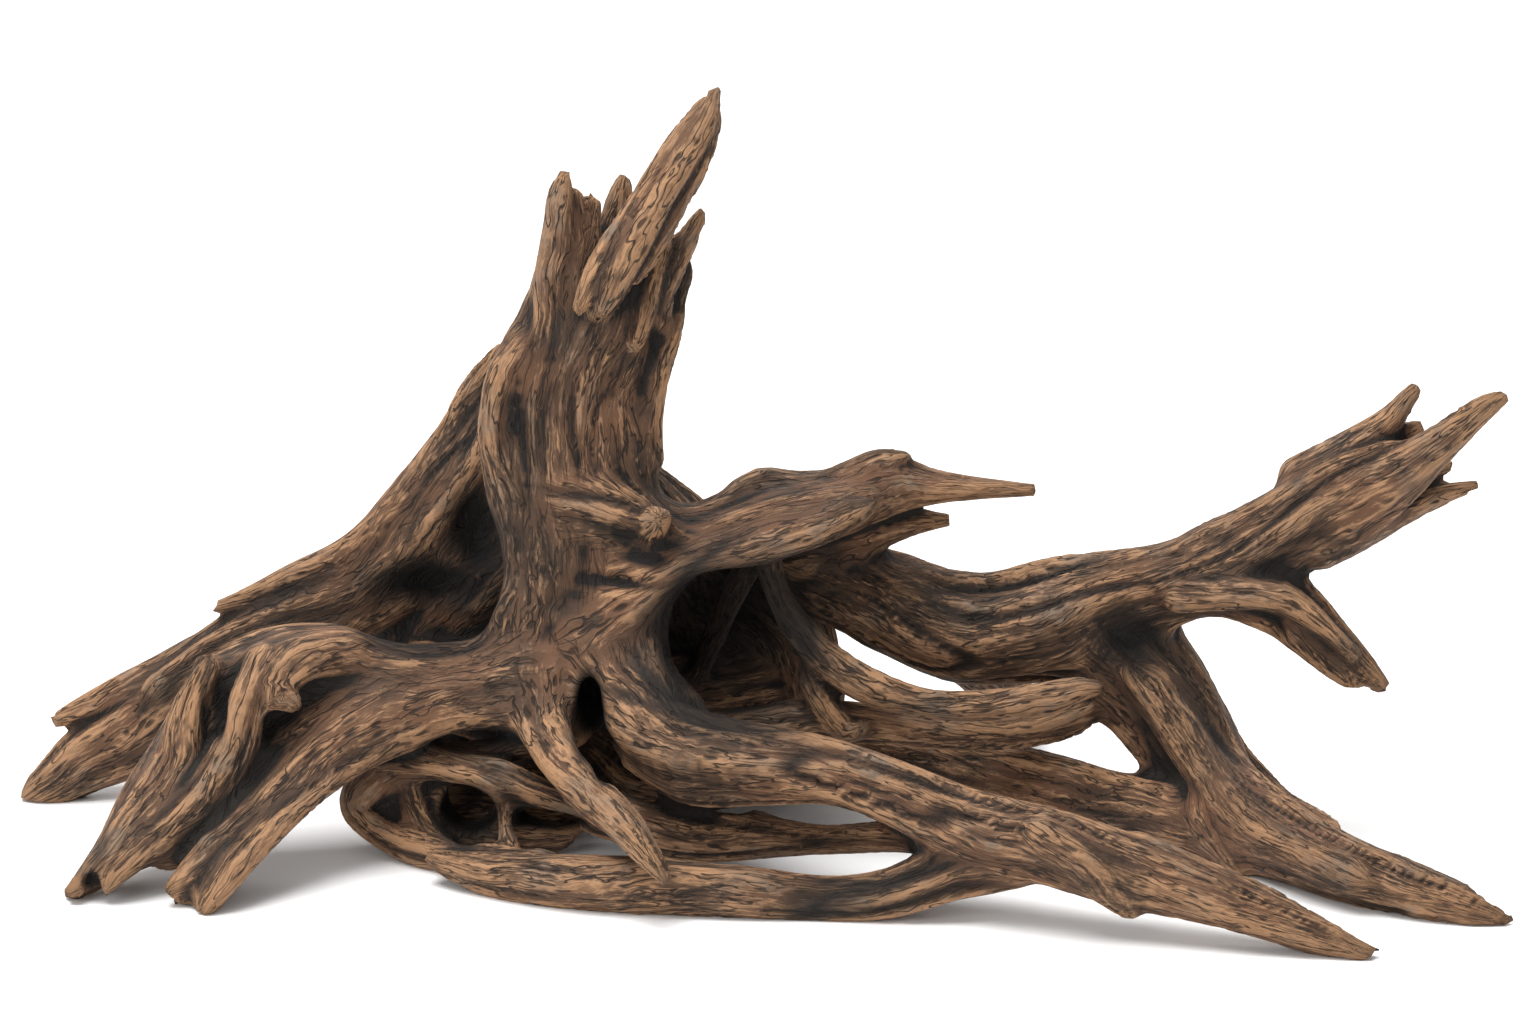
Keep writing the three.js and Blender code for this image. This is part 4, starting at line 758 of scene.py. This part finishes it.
def plain_material(name, colour, roughness):
    material = bpy.data.materials.new(name)
    material.use_nodes = True
    shader = material.node_tree.nodes["Principled BSDF"]
    shader.inputs["Base Color"].default_value = colour
    shader.inputs["Roughness"].default_value = roughness
    return material


def floor_and_light():
    bm = bmesh.new()
    bmesh.ops.create_grid(bm, x_segments=1, y_segments=1, size=8)
    mesh = bpy.data.meshes.new("studio_floor")
    bm.to_mesh(mesh)
    bm.free()
    floor = bpy.data.objects.new("studio_floor", mesh)
    mesh.materials.append(plain_material("pale_paper", (0.96, 0.96, 0.96, 1), 0.9))
    bpy.context.collection.objects.link(floor)
    for name, place, lit, size, power in LAMPS:
        data = bpy.data.lights.new(name, "AREA")
        data.shape = "SQUARE"
        data.size, data.energy = size, power
        lamp = bpy.data.objects.new(name, data)
        lamp.location = place
        lamp.rotation_euler = (Vector(lit) - Vector(place)).to_track_quat("-Z", "Y").to_euler()
        bpy.context.collection.objects.link(lamp)
    world = bpy.data.worlds.new("studio")
    world.use_nodes = True
    world.node_tree.nodes["Background"].inputs["Color"].default_value = (1, 1, 1, 1)
    world.node_tree.nodes["Background"].inputs["Strength"].default_value = SKY
    bpy.context.scene.world = world


def camera():
    data = bpy.data.cameras.new("photo_camera")
    data.sensor_width = SENSOR
    data.lens = SENSOR * (DISTANCE / PIXEL) / IMAGE[0]
    data.clip_end = 50
    eye = bpy.data.objects.new("photo_camera", data)
    tilt = math.radians(ELEVATION)
    eye.location = TARGET + Vector((0, -DISTANCE * math.cos(tilt), DISTANCE * math.sin(tilt)))
    eye.rotation_euler = (math.radians(90 - ELEVATION), 0, 0)
    bpy.context.collection.objects.link(eye)
    bpy.context.scene.camera = eye


camera()
limbs = [Limb(number, name in CROSSING, **limb) for number, (name, limb) in enumerate(LIMBS.items())]
stump = remeshed_copy(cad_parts["driftwood"])
carve_grain(stump, limbs)
for face in stump.data.polygons:
    face.use_smooth = True
stump.data.materials.append(driftwood_material())
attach(stump, "root")
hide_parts("driftwood")
floor_and_light()
bpy.context.scene.view_settings.view_transform = "Standard"
